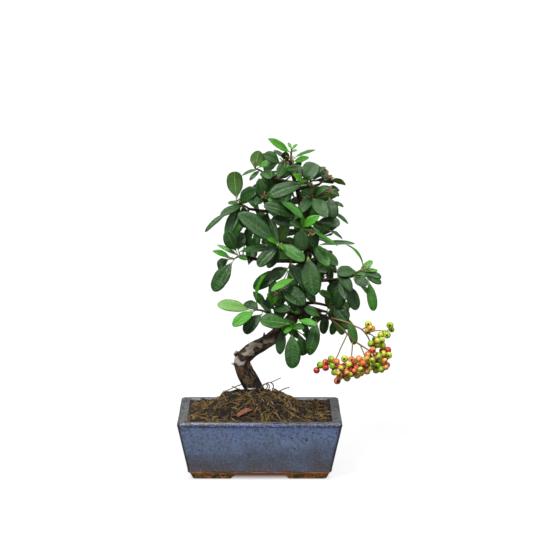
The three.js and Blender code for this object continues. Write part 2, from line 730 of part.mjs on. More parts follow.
// Sprays on the far side, filled by rule: root on the branch, end of the twig, number of leaves
const BACK_SPRAYS = [
  [[34, 338, 2], [29, 330, 16], 4],
  [[56, 327, 29], [55, 318, 40], 4],
  [[8, 328, -9], [6, 322, 8], 4],
  [[18, 292, 37], [10, 302, 46], 5],
  [[36, 288, 22], [40, 304, 34], 4],
  [[57, 303, -6], [56, 294, 14], 4],
  [[66, 240, 37], [62, 234, 48], 4],
  [[60, 236, 22], [64, 262, 28], 4],
  [[22, 256, 41], [22, 248, 52], 5],
  [[38, 252, 24], [40, 264, 38], 4],
  [[78, 214, 37], [78, 204, 46], 4],
  [[60, 211, 24], [62, 222, 38], 4],
  [[73, 177, 35], [75, 174, 46], 4],
  [[18, 181, 37], [24, 184, 48], 5],
  [[29, 178, 26], [33, 184, 40], 4],
];

const GOLDEN_ANGLE = Math.PI * (3 - Math.sqrt(5));
const FIRST_SEED = 100;

// Ranges for the leaves of those sprays: extra turn about the twig, angle off it, length, width as a
// share of the length, and lean in degrees
const BACK_TURN = [0, 6];
const BACK_SPREAD = [0.65, 1];
const BACK_LENGTH = [28, 38];
const BACK_WIDTH_SHARE = [0.38, 0.48];
const BACK_LEAN = [-20, 20];

const VIEWER_SIDE = new THREE.Vector3(0, -1, 0);
const FAR_SIDE = new THREE.Vector3(0, 1, 0);
const ARCH = 0.5;

// A twig bows up a little between its ends
function twigPoint(root, tip, t) {
  const bow = 0.12 * root.distanceTo(tip);
  const point = root.clone().lerp(tip, t);
  point.z += bow * 4 * t * (1 - t);
  return point;
}

// A twig from the given share of its way to its tip
function twig(root, tip, startShare) {
  const steps = root.distanceTo(tip) > 20 ? 3 : 2;
  const points = [];
  const radii = [];
  for (let i = 0; i <= steps; i++) {
    const share = THREE.MathUtils.lerp(startShare, 1, i / steps);
    points.push(twigPoint(root, tip, share));
    radii.push(THREE.MathUtils.lerp(TWIG_RADIUS, TWIG_TIP_RADIUS, share));
  }
  return stem(points, radii, 4, 1);
}

// The root lies inside the branch: the twig begins where it just clears the wood
function seatedTwig(root, tip, wholeWood) {
  const step = 0.1 / root.distanceTo(tip);
  for (let share = 0; share < 0.8; share += step) {
    const solid = twig(root, tip, share);
    if (solid.minGap(wholeWood, 2 * GAP) >= GAP) return solid;
  }
  throw new Error("a twig never clears the wood");
}

function nearestOnTwig(root, tip, place) {
  const tries = [0.3, 0.4, 0.5, 0.6, 0.7, 0.8, 0.9, 0.97].map((t) => twigPoint(root, tip, t));
  return tries.reduce((best, next) => (next.distanceTo(place) < best.distanceTo(place) ? next : best));
}

function frontLeaves(spray) {
  const root = spot(spray.root);
  const tip = spot(spray.tip);
  const count = spray.leaves.length;
  return spray.leaves.map(([across, up, behind, width, lean = 0, base, arch = ARCH], i) => ({
    place: [across, up, behind],
    base: base ? spot(base) : twigPoint(root, tip, 0.96 - (0.7 * i) / count),
    stalk: base ? nearestOnTwig(root, tip, spot(base)) : null,
    width,
    lean,
    arch,
    outward: VIEWER_SIDE,
  }));
}

function backLeaves(rootPlace, tipPlace, count, seed) {
  const root = spot(rootPlace);
  const tip = spot(tipPlace);
  const draw = draws(seed);
  const axis = tip.clone().sub(root).normalize().add(new THREE.Vector3(0, 0.5, 0)).normalize();
  const sideways = new THREE.Vector3().crossVectors(axis, new THREE.Vector3(0, 0, 1)).normalize();
  const upward = new THREE.Vector3().crossVectors(sideways, axis);
  const leaves = [];
  const between = ([low, high]) => THREE.MathUtils.lerp(low, high, draw());
  for (let i = 0; i < count; i++) {
    const around = GOLDEN_ANGLE * i + between(BACK_TURN);
    const spread = between(BACK_SPREAD);
    const length = between(BACK_LENGTH);
    const base = twigPoint(root, tip, 0.95 - (0.75 * i) / count);
    const heading = axis
      .clone()
      .multiplyScalar(Math.cos(spread))
      .addScaledVector(sideways, Math.sin(spread) * Math.cos(around))
      .addScaledVector(upward, Math.sin(spread) * Math.sin(around));
    leaves.push({
      tip: base.clone().addScaledVector(heading, length),
      base,
      width: length * between(BACK_WIDTH_SHARE),
      lean: between(BACK_LEAN),
      arch: ARCH,
      outward: FAR_SIDE,
    });
  }
  return leaves;
}

// A leaf that would touch its neighbours is moved along the line of sight or leans a little
const SHIFTS = [0, -3, 3, -6, 6, -9, 9, -12, 12, 16];
const LEANS = [0, 14, -14, 28, -28];

function variants(leaf) {
  return SHIFTS.flatMap((shift) =>
    LEANS.map((turn) => ({
      ...leaf,
      tip: leaf.place
        ? spot([leaf.place[0], leaf.place[1], leaf.place[2] + shift])
        : leaf.tip.clone().add(new THREE.Vector3(0, shift, 0)),
      lean: leaf.lean + turn,
    })),
  );
}

function shapeFor(leaf, isBack) {
  if (leaf.width < 6) return BLADE_SHAPES.tiny;
  return isBack || leaf.width < 12 ? BLADE_SHAPES.small : BLADE_SHAPES.large;
}

const obstacles = [];

function isClear(solid, owner, room) {
  const box = solid.boundingBox();
  return obstacles.every(
    (other) =>
      other.owner === owner ||
      !nearBoxes(box, other.box, room) ||
      solid.minGap(other.solid, room + 0.1) >= room,
  );
}

function block(solid, owner) {
  obstacles.push({ solid, owner, box: solid.boundingBox() });
}

function growLeaf(leaf, owner, isBack, blades) {
  for (const candidate of variants(leaf)) {
    const stations = bladeStations(candidate, shapeFor(leaf, isBack));
    const whole = blade(stations);
    if (!isClear(whole, owner, LEAF_GAP)) continue;
    const outer = blade(stations.slice(leaf.stalk ? 2 : 1));
    const box = outer.boundingBox();
    const crowded = blades.some((b) => nearBoxes(box, b.box, GAP) && outer.minGap(b.solid, 1) < GAP);
    if (crowded) continue;
    blades.push({ solid: outer, box });
    return whole;
  }
  return null;
}

// Berries: across, up and behind. The corners of a coarse ball stand out, so that it is as large as
// the round berry.
const CORNERS_OUT = 1.06;

const LOWER_STALKS = [
  [
    [78, 169, -17], [89, 160, -20], [97, 152, -22], [105, 144, -24], [111, 140, -24], [120, 134, -26],
    [127, 128, -26], [131, 120, -26],
  ],
  [[97, 152, -22], [90, 137, -25], [84, 124, -25], [76, 119, -26], [68, 115, -26]],
  [[103, 146, -23], [102, 131, -26], [100, 120, -27], [92, 112, -26], [88, 106, -26]],
  [[111, 140, -24], [116, 128, -27], [117, 118, -27], [108, 111, -26]],
  [[120, 134, -26], [130, 131, -24], [138, 128, -24], [140, 122, -24]],
];
const UPPER_STALKS = [
  [[79, 170, -18], [94, 166, -22], [105, 161, -22], [113, 157, -22], [121, 146, -20], [122, 139, -18]],
  [[113, 157, -22], [119, 160, -21], [122, 157, -21]],
  [[117, 153, -21], [124, 151, -19], [132, 144, -18]],
  [[122, 155, -21], [132, 156, -20], [141, 155, -19]],
];
const LOWER_BERRIES = [
  [63, 111, -26], [67, 117, -28], [73, 120, -24], [73, 114, -29], [79, 124, -24], [81, 116, -26],
  [83, 109, -25], [85, 121, -30], [89, 115, -32], [94, 116, -24], [94, 124, -30], [102, 123, -33],
  [110, 124, -30], [114, 119, -32], [88, 103, -30], [86, 99, -24], [97, 102, -27], [100, 111, -32],
  [107, 113, -31], [102, 107, -25], [108, 105, -28], [113, 109, -27], [118, 116, -24], [119, 110, -30],
  [95, 108, -31], [104, 117, -26], [120, 129, -30], [121, 122, -29], [125, 134, -30], [129, 124, -31],
  [124, 117, -25], [130, 117, -30], [136, 120, -27], [129, 111, -26], [135, 112, -29], [139, 125, -29],
  [141, 117, -24], [142, 134, -24], [143, 128, -28], [136, 133, -22], [133, 127, -23],
];
const UPPER_BERRIES = [
  [128, 146, -17], [134, 151, -18], [135, 145, -21], [131, 140, -19], [136, 139, -16], [127, 139, -14],
  [123, 141, -21], [141, 151, -20], [146, 157, -18], [144, 162, -20], [120, 163, -22], [120, 156, -24],
  [124, 158, -18],
];

function stalkPoints(stalks) {
  return stalks.flatMap((stations) =>
    stations.slice(1).flatMap((station, i) => {
      const from = spot(stations[i]);
      const to = spot(station);
      return [0.5, 1].map((share) => from.clone().lerp(to, share));
    }),
  );
}

// Berries that would run into each other are moved along the line of sight
const BERRY_SHIFTS = [0, -2, 2, -4, 4, -6, 6, -8, 8];

function settledBerries(berries) {
  const centres = [];
  for (const [across, up, behind] of berries) {
    const choices = BERRY_SHIFTS.map((shift) => spot([across, up, behind + shift]));
    const apart = (centre) =>
      Math.min(...centres.map((other) => other.distanceTo(centre)), 2.1 * BERRY_RADIUS);
    centres.push(choices.reduce((best, next) => (apart(next) > apart(best) ? next : best)));
  }
  return centres;
}

// One bunch: the branched stalk, and for each berry a short stalk of its own
function bunch(stalks, berries) {
  const along = stalkPoints(stalks);
  const pieces = stalks.map((stations, i) => {
    const start = i === 0 ? MAIN_STALK_RADIUS : SIDE_STALK_RADIUS;
    const radii = stations.map((_, k) => start * (1 - (STALK_TAPER * k) / stations.length));
    return stem(stations.map(spot), radii, 4, 1);
  });
  for (const centre of settledBerries(berries)) {
    const nearer = (best, next) => (next.distanceTo(centre) < best.distanceTo(centre) ? next : best);
    const start = along.reduce(nearer);
    if (start.distanceTo(centre) > 0.8 * BERRY_RADIUS) {
      pieces.push(stem([start, centre], [STALK_RADIUS, STALK_RADIUS], 3, 1));
    }
    const geometry = new THREE.IcosahedronGeometry(BERRY_RADIUS * CORNERS_OUT, 0);
    geometry.rotateX(centre.x);
    geometry.rotateZ(centre.z);
    pieces.push(solidFrom(geometry, centre));
  }
  return joined(pieces);
}

// Assembly

const LOOKS = {
  stoneware: look("#56657d", 0.35),
  soil: look("#3b2f1c", 1),
  bark: look("#6b5a48", 0.9),
  leaf: look("#2c5a24", 0.45),
  berry: look("#c8692e", 0.4),
  wire: look("#8c8c8c", 0.45, 1),
  screen: look("#20242a", 0.6),
  dryBark: look("#7a4630", 0.9),
};

function look(color, roughness, metalness = 0) {
  return new THREE.MeshStandardMaterial({ color, roughness, metalness });
}

function addNode(group, name, solid, material) {
  const mesh = solid.getMesh();
  const places = [];
  for (let i = 0; i < mesh.numVert; i++) {
    places.push(...mesh.vertProperties.subarray(i * mesh.numProp, i * mesh.numProp + 3));
  }
  const geometry = new THREE.BufferGeometry();
  geometry.setAttribute("position", new THREE.Float32BufferAttribute(places, 3));
  geometry.setIndex([...mesh.triVerts]);
  geometry.computeVertexNormals();
  const node = new THREE.Mesh(geometry, material);
  node.name = name;
  group.add(node);
}

function plannedSprays() {
  const front = Object.entries(FRONT_SPRAYS).map(([name, spray]) => ({
    name,
    root: spot(spray.root),
    tip: spot(spray.tip),
    leaves: frontLeaves(spray),
    isBack: false,
  }));
  const back = BACK_SPRAYS.map(([from, to, count], i) => ({
    name: `spray_back_${String(i + 1).padStart(2, "0")}`,
    root: spot(from),
    tip: spot(to),
    leaves: backLeaves(from, to, count, FIRST_SEED + i),
    isBack: true,
  }));
  return [...front, ...back];
}

// Twigs first, so that every leaf keeps clear of them
function growSprays(wholeWood) {
  const sprays = plannedSprays();
  for (const spray of sprays) {
    spray.twig = seatedTwig(spray.root, spray.tip, wholeWood);
    block(spray.twig, spray.name);
  }
  for (const spray of sprays) {
    const blades = [];
    spray.solid = spray.twig;
    for (const leaf of spray.leaves) {
      const grown = growLeaf(leaf, spray.name, spray.isBack, blades);
      if (!grown) continue;
      block(grown, spray.name);
      spray.solid = spray.solid.add(grown);
    }
  }
  return sprays;
}

function cutSoil(woodRoom) {
  let body = soilBody().subtract(woodRoom).subtract(anchorWire(GAP)).subtract(barkChip(GAP));
  for (const x of [-DRAIN_X, DRAIN_X]) {
    body = body.subtract(plate(x, SCREEN_SIZE + 2 * GAP, FLOOR_TOP, SCREEN_THICKNESS + 2 * GAP));
  }
  return largest(body);
}

function assemble() {
  const group = new THREE.Group();
  const wholeWood = wood(0);
  const woodRoom = wood(GAP);
  const lowerBunch = bunch(LOWER_STALKS, LOWER_BERRIES).subtract(woodRoom);
  const upperBunch = bunch(UPPER_STALKS, UPPER_BERRIES).subtract(woodRoom);
  block(wholeWood, "trunk");
  block(lowerBunch, "berries_lower");
  block(upperBunch, "berries_upper");
  addNode(group, "pot", pot(), LOOKS.stoneware);
  addNode(group, "drain_screen_left", drainScreen(-DRAIN_X), LOOKS.screen);
  addNode(group, "drain_screen_right", drainScreen(DRAIN_X), LOOKS.screen);
  addNode(group, "soil", cutSoil(woodRoom), LOOKS.soil);
  addNode(group, "anchor_wire", anchorWire(0), LOOKS.wire);
  addNode(group, "bark_chip", barkChip(0), LOOKS.dryBark);
  addNode(group, "trunk", wholeWood, LOOKS.bark);
  for (const spray of growSprays(wholeWood)) {
    addNode(group, spray.name, spray.solid, LOOKS.leaf);
  }
  addNode(group, "berries_lower", largest(lowerBunch), LOOKS.berry);
  addNode(group, "berries_upper", largest(upperBunch), LOOKS.berry);
  return group;
}

const root = assemble();

// Origin at the bottom centre of the whole
const box = new THREE.Box3().setFromObject(root);
const middle = box.getCenter(new THREE.Vector3());
root.position.set(-middle.x, -middle.y, -box.min.z);

export default root;
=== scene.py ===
"""Narrowleaf firethorn bonsai in its glazed pot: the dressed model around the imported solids.

Sizes in the tables are millimetres, and the tree is laid out as it looks from the front: across and up
on the upright plane through the middle of the pot, then how far behind that plane along the line of
sight. Meshes are in metres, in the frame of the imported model.
"""

import math
import random
from functools import partial

import bmesh
import bpy
from mathutils import Matrix, Quaternion, Vector, noise
from mathutils.bvhtree import BVHTree
from mathutils.kdtree import KDTree


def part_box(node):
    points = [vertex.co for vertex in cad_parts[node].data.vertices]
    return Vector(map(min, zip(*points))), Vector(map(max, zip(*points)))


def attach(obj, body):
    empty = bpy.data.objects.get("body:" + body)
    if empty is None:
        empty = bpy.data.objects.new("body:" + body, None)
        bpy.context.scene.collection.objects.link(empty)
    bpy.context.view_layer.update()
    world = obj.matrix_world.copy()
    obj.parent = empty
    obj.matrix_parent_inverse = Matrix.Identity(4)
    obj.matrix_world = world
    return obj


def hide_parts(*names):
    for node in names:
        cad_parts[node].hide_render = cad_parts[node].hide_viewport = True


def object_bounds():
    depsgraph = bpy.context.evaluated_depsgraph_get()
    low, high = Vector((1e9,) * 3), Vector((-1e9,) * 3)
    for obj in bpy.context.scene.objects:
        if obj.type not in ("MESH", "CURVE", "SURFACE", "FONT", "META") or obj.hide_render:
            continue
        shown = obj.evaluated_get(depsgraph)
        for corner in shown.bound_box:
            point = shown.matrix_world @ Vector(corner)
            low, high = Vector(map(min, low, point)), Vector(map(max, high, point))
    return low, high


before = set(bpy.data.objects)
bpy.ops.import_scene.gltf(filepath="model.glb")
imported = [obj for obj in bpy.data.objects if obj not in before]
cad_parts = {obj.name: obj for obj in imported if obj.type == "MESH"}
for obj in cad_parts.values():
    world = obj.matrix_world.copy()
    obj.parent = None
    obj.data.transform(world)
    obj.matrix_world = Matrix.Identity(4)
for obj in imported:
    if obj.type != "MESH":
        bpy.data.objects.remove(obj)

bl_info = {
    "name": "Firethorn bonsai in a pot",
    "version": (1, 0, 0),
    "blender": (4, 5, 0),
    "location": "View3D > Sidebar > Bonsai",
    "description": "Builds a potted firethorn bonsai with leaves, berries, bark, moss and glaze",
    "category": "Add Mesh",
}

CAD_BOX = [list(corner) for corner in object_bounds()]
MM = 0.001

# The middle of the pot at the level of its feet
POT_LOW, POT_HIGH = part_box("pot")
POT_MIDDLE = Vector(((POT_LOW.x + POT_HIGH.x) / 2, (POT_LOW.y + POT_HIGH.y) / 2, 0))

# Pot, mm
POT_WIDTH = 180
POT_DEPTH = 130
POT_HEIGHT = 66
POT_CORNER = 5
RIM_WIDTH = 11
RIM_ROUND = 2.5
BASE_WIDTH = 158
GLAZE_EDGE = 9.2
BASE_STEP = 2.5
FOOT_HEIGHT = 7
FOOT_WIDTH = 19
FOOT_LEAN = 3.5
FOOT_CORNER = 6
FLOOR_TOP = 14
WALL = 9
FRONT_OPENING = 64
SIDE_OPENING = 40
DRAIN_X = 42
DRAIN_RADIUS = 7
DRILL_DEPTH = 14
# Length of the waves in the glaze's lower edge, mm
GLAZE_WAVE = 14
WALL_STEPS = 9
RIM_STEPS = 5
FOOT_CORNER_STEPS = 6
RING_ARC = 6
RING_STRAIGHT = (44, 60)

# Soil, fruit, twigs, wire, flake of bark and trunk, mm; the flake's turns are in radians
MOUND_MIDDLE = (-6, -8)
MOUND_RISE = 22
MOUND_REACH = (51, 38)
MOUND_SHOULDER = 5
SOIL_SLOPE = 18
SOIL_BUMP = 0.9
SOIL_EDGE = 64.5
CRUMBS = ((1.7, 9), (1.3, 4.2), (0.7, 1.9))
BERRY_RADIUS = 3.4
BERRY_SQUAT = 0.93
TWIG_RADIUS = 1.3
TWIG_TIP_RADIUS = 0.9
MAIN_STALK_RADIUS = 1.15
SIDE_STALK_RADIUS = 0.8
WIRE_RADIUS = 0.9
CHIP_SIZE = (18.6, 7.4, 1)
CHIP_PLACE = (-17, -43)
CHIP_RISE = 2.8
CHIP_TILT = 0.5
CHIP_TURN = 0.4
CHIP_LIFT = -0.24
ROOT_SHARE = 0.16
WOOD_STEPS = 6

# The camera, mm from the middle of the pot, and the line of sight of the tables
EYE = Vector((7, -2200, 592))
CAMERA = Vector((7.4, -2199.8, 592))
CAMERA_PITCH = 80.6
CAMERA_LENS = 136.8
CAMERA_SENSOR = 36

# The stage, m: half the width of the table, half the size of the painted shadow below the pot, and how far
# inward from its edge it deepens
STAGE_HALF = 40
SHADE_HALF = (0.079, 0.054, 0)
SHADE_REACH = 0.022

VIEWER_SIDE = Vector((0, -1, 0))
FAR_SIDE = Vector((0, 1, 0))
UP = Vector((0, 0, 1))

# Leaves, as the solids have them: stations where a blade's centre line is known
BLADE_STATIONS = {"large": (0.5, 0.86), "small": (0.42, 0.84), "tiny": (0.6,)}
STATION_WIDTHS = {0.5: 1, 0.86: 0.78, 0.42: 0.95, 0.84: 0.85, 0.6: 1}
BLADE_HALF = 0.35
ARCH = 0.5
FOLD = 0.26
# How near to the middle of the solid's blade a leaf has to lie, mm
FIT_TOLERANCE = 0.12

# Leaves, as they are drawn here: folded a little more and, being rounded, a little wider
BLADE_FOLD = 0.32
LEAF_FULLNESS = 1.05
BLADE_FORM = {"blade_thickness": 0.0005, "stalk_width": 0.0009, "waves": 2.5, "ripple": 0.06}
FINE_BLADE = {"lanes": 9, "rows": 13, **BLADE_FORM}
PLAIN_BLADE = {"lanes": 7, "rows": 10, **BLADE_FORM}
SMALL_BLADE = {"lanes": 7, "rows": 9, **BLADE_FORM}

# Leaves on the far side, spread around their twig by repeatable draws
GOLDEN_ANGLE = math.pi * (3 - math.sqrt(5))
FIRST_SEED = 100
BACK_TURN = (0, 6)
BACK_SPREAD = (0.65, 1)
BACK_LENGTH = (28, 38)
BACK_WIDTH_SHARE = (0.38, 0.48)
BACK_LEAN = (-20, 20)
BACK_AGES = (0.08, 0.2, 0.12, 0.45, 0.1)

# Ways to make room for a leaf or berry, in the order of the solids: mm further behind, and degrees
SHIFTS = (0, -3, 3, -6, 6, -9, 9, -12, 12, 16)
LEANS = (0, 14, -14, 28, -28)
BERRY_SHIFTS = (0, -2, 2, -4, 4, -6, 6, -8, 8)
BERRY_PLUMPNESS = (1.08, 1.2)

# Leafy sprays seen from the front: where the twig starts on its branch, its end, and its leaves. Each
# leaf: across, up, behind of its tip, width, age from 0 old and dark to 1 just unfolded and bright, then
# where they differ from the rule its lean, its base, its arch. Leaves that lie in shade were given low
# ages, so their darkness is partly the leaf's age and partly painted shade.
FRONT_SPRAYS = {
    "spray_apex": ((34, 345, 1), (35, 359, 0), (
        (9, 369, -12, 9.5, 0.85, 0, (33, 354, 0), 0.3), (31, 365, 5, 3.5, 0.9), (41, 363, 3, 3, 0.9),
        (41, 356, -5, 3.5, 0.9), (61, 356.5, -6, 7, 0.4, 30, (37, 348, -4), 0.2),
        (54, 348, -16, 8, 0.6, 0, (37, 344, -6), 0.2),
    )),
    "spray_crown": ((34, 341, 2), (28, 345, -16), (
        (29, 355, -26, 9, 0.1), (15, 356, -8, 5.5, 0.1, 15), (4, 351, -24, 14, 0.15, 0, (22, 342, -16)),
        (49, 336, -36, 9, 0.15, 0, (26, 335, -22)), (20, 326, -34, 12, 0.1),
    )),
    "spray_top_left": ((8, 328, -9), (-6, 336, -10), (
        (-1, 356, -6, 15, 0.3, 180, (-6, 337, -10)), (17, 345, -24, 8, 0.75, 0, (-2, 337, -14)),
        (-20, 328, -4, 5, 0.35, 15), (-11, 323, -18, 5, 0.2), (12, 325, -30, 13, 0.2),
    )),
    "spray_upper_left": ((-12, 292, -16), (-27, 297, -16), (
        (-28, 333, -14, 17, 0.3, 180, (-25, 303, -15)), (-60, 266, -20, 7, 0.2, 15, (-33, 289, -17)),
        (-3, 313, -28, 16, 0.1), (-35, 298, -22, 5, 0.35), (-36, 258, -26, 13, 0.1), (-15, 271, -6, 14, 0.1),
        (-43, 284, -34, 9, 0.1),
    )),
    "spray_upper_left_inner": ((8, 289, -14), (2, 304, -26), (
        (-6, 296, -36, 10, 0.1), (-2, 324, -30, 15, 0.15), (22, 283, -30, 13, 0.1),
    )),
    "spray_brow": ((54, 316, -12), (47, 319, -34), (
        (10, 306, -42, 17, 0.1), (36, 330, -42, 8, 0.88), (61, 342, -16, 19, 0.12), (72, 338, 2, 9, 0.15),
        (56, 328, -36, 7, 0.35),
    )),
    "spray_temple": ((29, 286, -8), (19, 302, -40), (
        (46, 281, -54, 17, 0.4, 40), (4, 295, -48, 15, 0.1, 0, (42, 281, -38)), (9, 301, -46, 5.5, 0.8),
        (20, 257, -34, 14, 0.4, 150, (33, 276, -28)),
    )),
    "spray_face_left": ((24, 245, -34), (19, 254, -42), (
        (-24, 287, -48, 21, 0.12, 0, (18, 254, -44), 0.3), (49, 234, -54, 15, 0.4), (8, 258, -52, 6, 0.8),
        (12, 281, -30, 8, 0.1), (27, 246, -56, 6, 0.6), (-2, 228, -44, 14, 0.12), (12, 231, -28, 13, 0.12),
    )),
    "spray_face": ((46, 267, -36), (47, 271, -46), (
        (66, 284, -52, 11, 0.78), (47, 284, -50, 5, 0.9), (46, 245, -44, 18, 0.03), (63, 250, -38, 16, 0.05),
        (86, 250, -44, 7, 0.6, 40), (33, 277, -46, 8, 0.25), (13, 281, -36, 14, 0.1, 0, (40, 273, -36)),
    )),
    "spray_upper_right": ((68, 307, -10), (79, 311, -10), (
        (87, 306, -8, 5.5, 0.1), (81, 281, -22, 14, 0.03, 0, (76, 305, -14)),
        (92, 294, -4, 6, 0.15, 15, (78, 299, -8)), (86, 314, 4, 10, 0.1),
    )),
    "spray_upper_right_inner": ((56, 303, -6), (58, 303, -20), (
        (73, 283, -40, 17, 0.15), (44, 288, -36, 12, 0.1), (76, 317, -22, 9, 0.2), (48, 312, -32, 9, 0.15),
    )),
    "spray_top_right": ((65, 319, -12), (77, 324, -8), (
        (94, 318, -6, 10, 0.5, 95), (79, 329, -8, 5, 0.25), (69, 337, 4, 10, 0.1),
    )),
    "spray_shoulder": ((49, 272, 4), (64, 277, -14), (
        (88, 274, -26, 14, 0.12), (97, 275, -6, 5.5, 0.3, 15, (78, 289, -10)),
        (91, 258, -4, 7, 0.4, 30, (75, 268, -8)), (76, 294, 2, 12, 0.15, 0, (62, 285, -8)),
    )),
    "spray_armpit": ((52, 243, 3), (64, 251, -14), (
        (105, 253, -10, 7, 0.25, 15), (76, 228, -34, 16, 0.35), (86, 229, -18, 13, 0.3),
    )),
    "spray_hanging": ((52, 235, 2), (53, 240, -38), (
        (60, 195, -50, 22, 0.18, 0, (53, 239, -41), 0.3),
    )),
    "spray_right_end": ((101, 217, -12), (115, 223, -14), (
        (95, 252, -10, 8, 0.62, 50, (114, 226, -14), 1), (85, 220, -30, 14, 0.18, 0, (107, 222, -20), 0.3),
        (134, 215, -14, 8, 0.2), (130, 223, -14, 5, 0.7), (124, 234, -8, 7, 0.7),
        (119, 207, -28, 12, 0.05, 0, (103, 214, -20)), (126, 178, -20, 10.5, 0.45, 0, (120, 212, -18)),
        (124, 193, -6, 7, 0.4, 20, (108, 209, -10)),
    )),
    "spray_right": ((84, 213, -9), (95, 209, -20), (
        (107, 179, -22, 14, 0.02), (101, 199, -34, 13, 0.06, 0, (84, 224, -24)), (86, 181, -14, 15, 0.1),
        (77, 196, -6, 14, 0.05), (95, 190, -32, 11, 0.06),
    )),
    "spray_lower_right": ((74, 184, -8), (83, 185, -8), (
        (96, 166, -16, 18, 0.05), (105, 140, -14, 10, 0.4, 0, (98, 170, -10)),
        (93, 152, -2, 11, 0.5, 0, (79, 170, -6)), (70, 152, -4, 10, 0.1, 0, (74, 176, -4)),
        (65, 200, -20, 9, 0.35, 0, (81, 190, -12)),
    )),
    "spray_bottom_right": ((51, 178, -6), (60, 171, -20), (
        (55, 128, -28, 15, 0.18, 0, (63, 167, -24)), (49, 181, -28, 11, 0.35, 0, (66, 172, -24)),
    )),
    "spray_bottom": ((36, 159, -22), (37, 160, -30), (
        (36, 113, -38, 17, 0.22, 0, (35, 153, -33)), (22, 129, -32, 11, 0.1, 0, (25, 159, -28)),
        (49, 128, -22, 12, 0.1, 0, (43, 153, -29)), (0, 167, -42, 18, 0.3, 0, (33, 163, -33)),
        (27, 153, -40, 7, 0.7), (49, 158, -42, 10, 0.45), (63, 162, -46, 8, 0.82, 0, (42, 167, -36)),
    )),
    "spray_low_left": ((8, 176, -25), (-9, 178, -30), (
        (-47, 185, -34, 14, 1.12, 0, (-11, 179, -30)), (-30, 161, -40, 13, 0.85, 0, (-6, 178, -32)),
        (-17, 153, -28, 14, 0.0, 0, (3, 175, -28)), (-17, 187, -14, 11, 0.05),
        (10, 223, -38, 10, 0.8, 60, (-2, 181, -34), 1.1),
    )),
    "spray_low_inner": ((18, 170, -14), (13, 185, -32), (
        (8, 198, -42, 5.5, 0.8), (21, 194, -40, 5.5, 0.7), (33, 178, -40, 12, 0.15), (2, 190, -20, 8, 0.05),
    )),
    "spray_middle_low": ((38, 241, -20), (31, 222, -26), (
        (-7, 203, -34, 15, 0.1, 15, (26, 223, -26), 1.1), (9, 212, -28, 14, 0.1),
        (50, 185, -40, 21, 0.1, 0, (22, 206, -30)), (54, 198, -30, 16, 0.05), (38, 177, -26, 13, 0.1),
        (12, 200, -48, 9, 0.92, 0, (38, 214, -36)),
    )),
    "spray_middle_left": ((-19, 240, -23), (-28, 236, -24), (
        (-51, 200, -30, 17, 0.15, 0, (-30, 233, -26), 0.3), (-46, 226, -12, 12, 0.1, 0, (-34, 236, -20)),
        (-52, 245, -30, 7, 0.75, 0, (-33, 238, -26)), (-37, 268, -28, 15, 0.15, 0, (-26, 245, -25)),
        (-14, 235, -36, 6, 0.4), (14, 247, -30, 15, 0.25, 0, (-23, 244, -28)), (-47, 252, -14, 5, 0.7),
        (-20, 266, -8, 15, 0.1, 0, (-24, 246, -16)),
    )),
}

# Leafy sprays at the back: start and end of the twig, and the number of leaves
BACK_SPRAYS = (
    ((34, 338, 2), (29, 330, 16), 4),
    ((56, 327, 29), (55, 318, 40), 4),
    ((8, 328, -9), (6, 322, 8), 4),
    ((18, 292, 37), (10, 302, 46), 5),
    ((36, 288, 22), (40, 304, 34), 4),
    ((57, 303, -6), (56, 294, 14), 4),
    ((66, 240, 37), (62, 234, 48), 4),
    ((60, 236, 22), (64, 262, 28), 4),
    ((22, 256, 41), (22, 248, 52), 5),
    ((38, 252, 24), (40, 264, 38), 4),
    ((78, 214, 37), (78, 204, 46), 4),
    ((60, 211, 24), (62, 222, 38), 4),
    ((73, 177, 35), (75, 174, 46), 4),
    ((18, 181, 37), (24, 184, 48), 5),
    ((29, 178, 26), (33, 184, 40), 4),
)

# Trunk and branches: across, up, behind and radius of each station
TRUNK = (
    (-6, 42, 6, 10),
    (-5, 64, 6, 18),
    (-4, 78, 6, 14),
    (-6, 89, 5, 10),
    (-12.2, 101, 2, 9.8),
    (-18.1, 113, -2, 9.2),
    (-20, 123, -4, 8.5),
    (-10.8, 133, -3, 7.9),
    (2, 140, 0, 7.6),
    (15, 148, 3, 7.4),
    (27, 158, 5, 6.9),
    (37, 171, 6, 6.3),
    (42, 186, 6, 5.7),
    (48, 206, 4, 5.1),
    (52, 232, 2, 4.5),
    (51, 257, 3, 3.9),
    (47, 281, 4, 3.4),
    (44, 301, 4, 2.8),
    (39, 320, 3, 2.3),
    (34, 337, 2, 1.8),
    (34, 347, 1, 1.3),
)

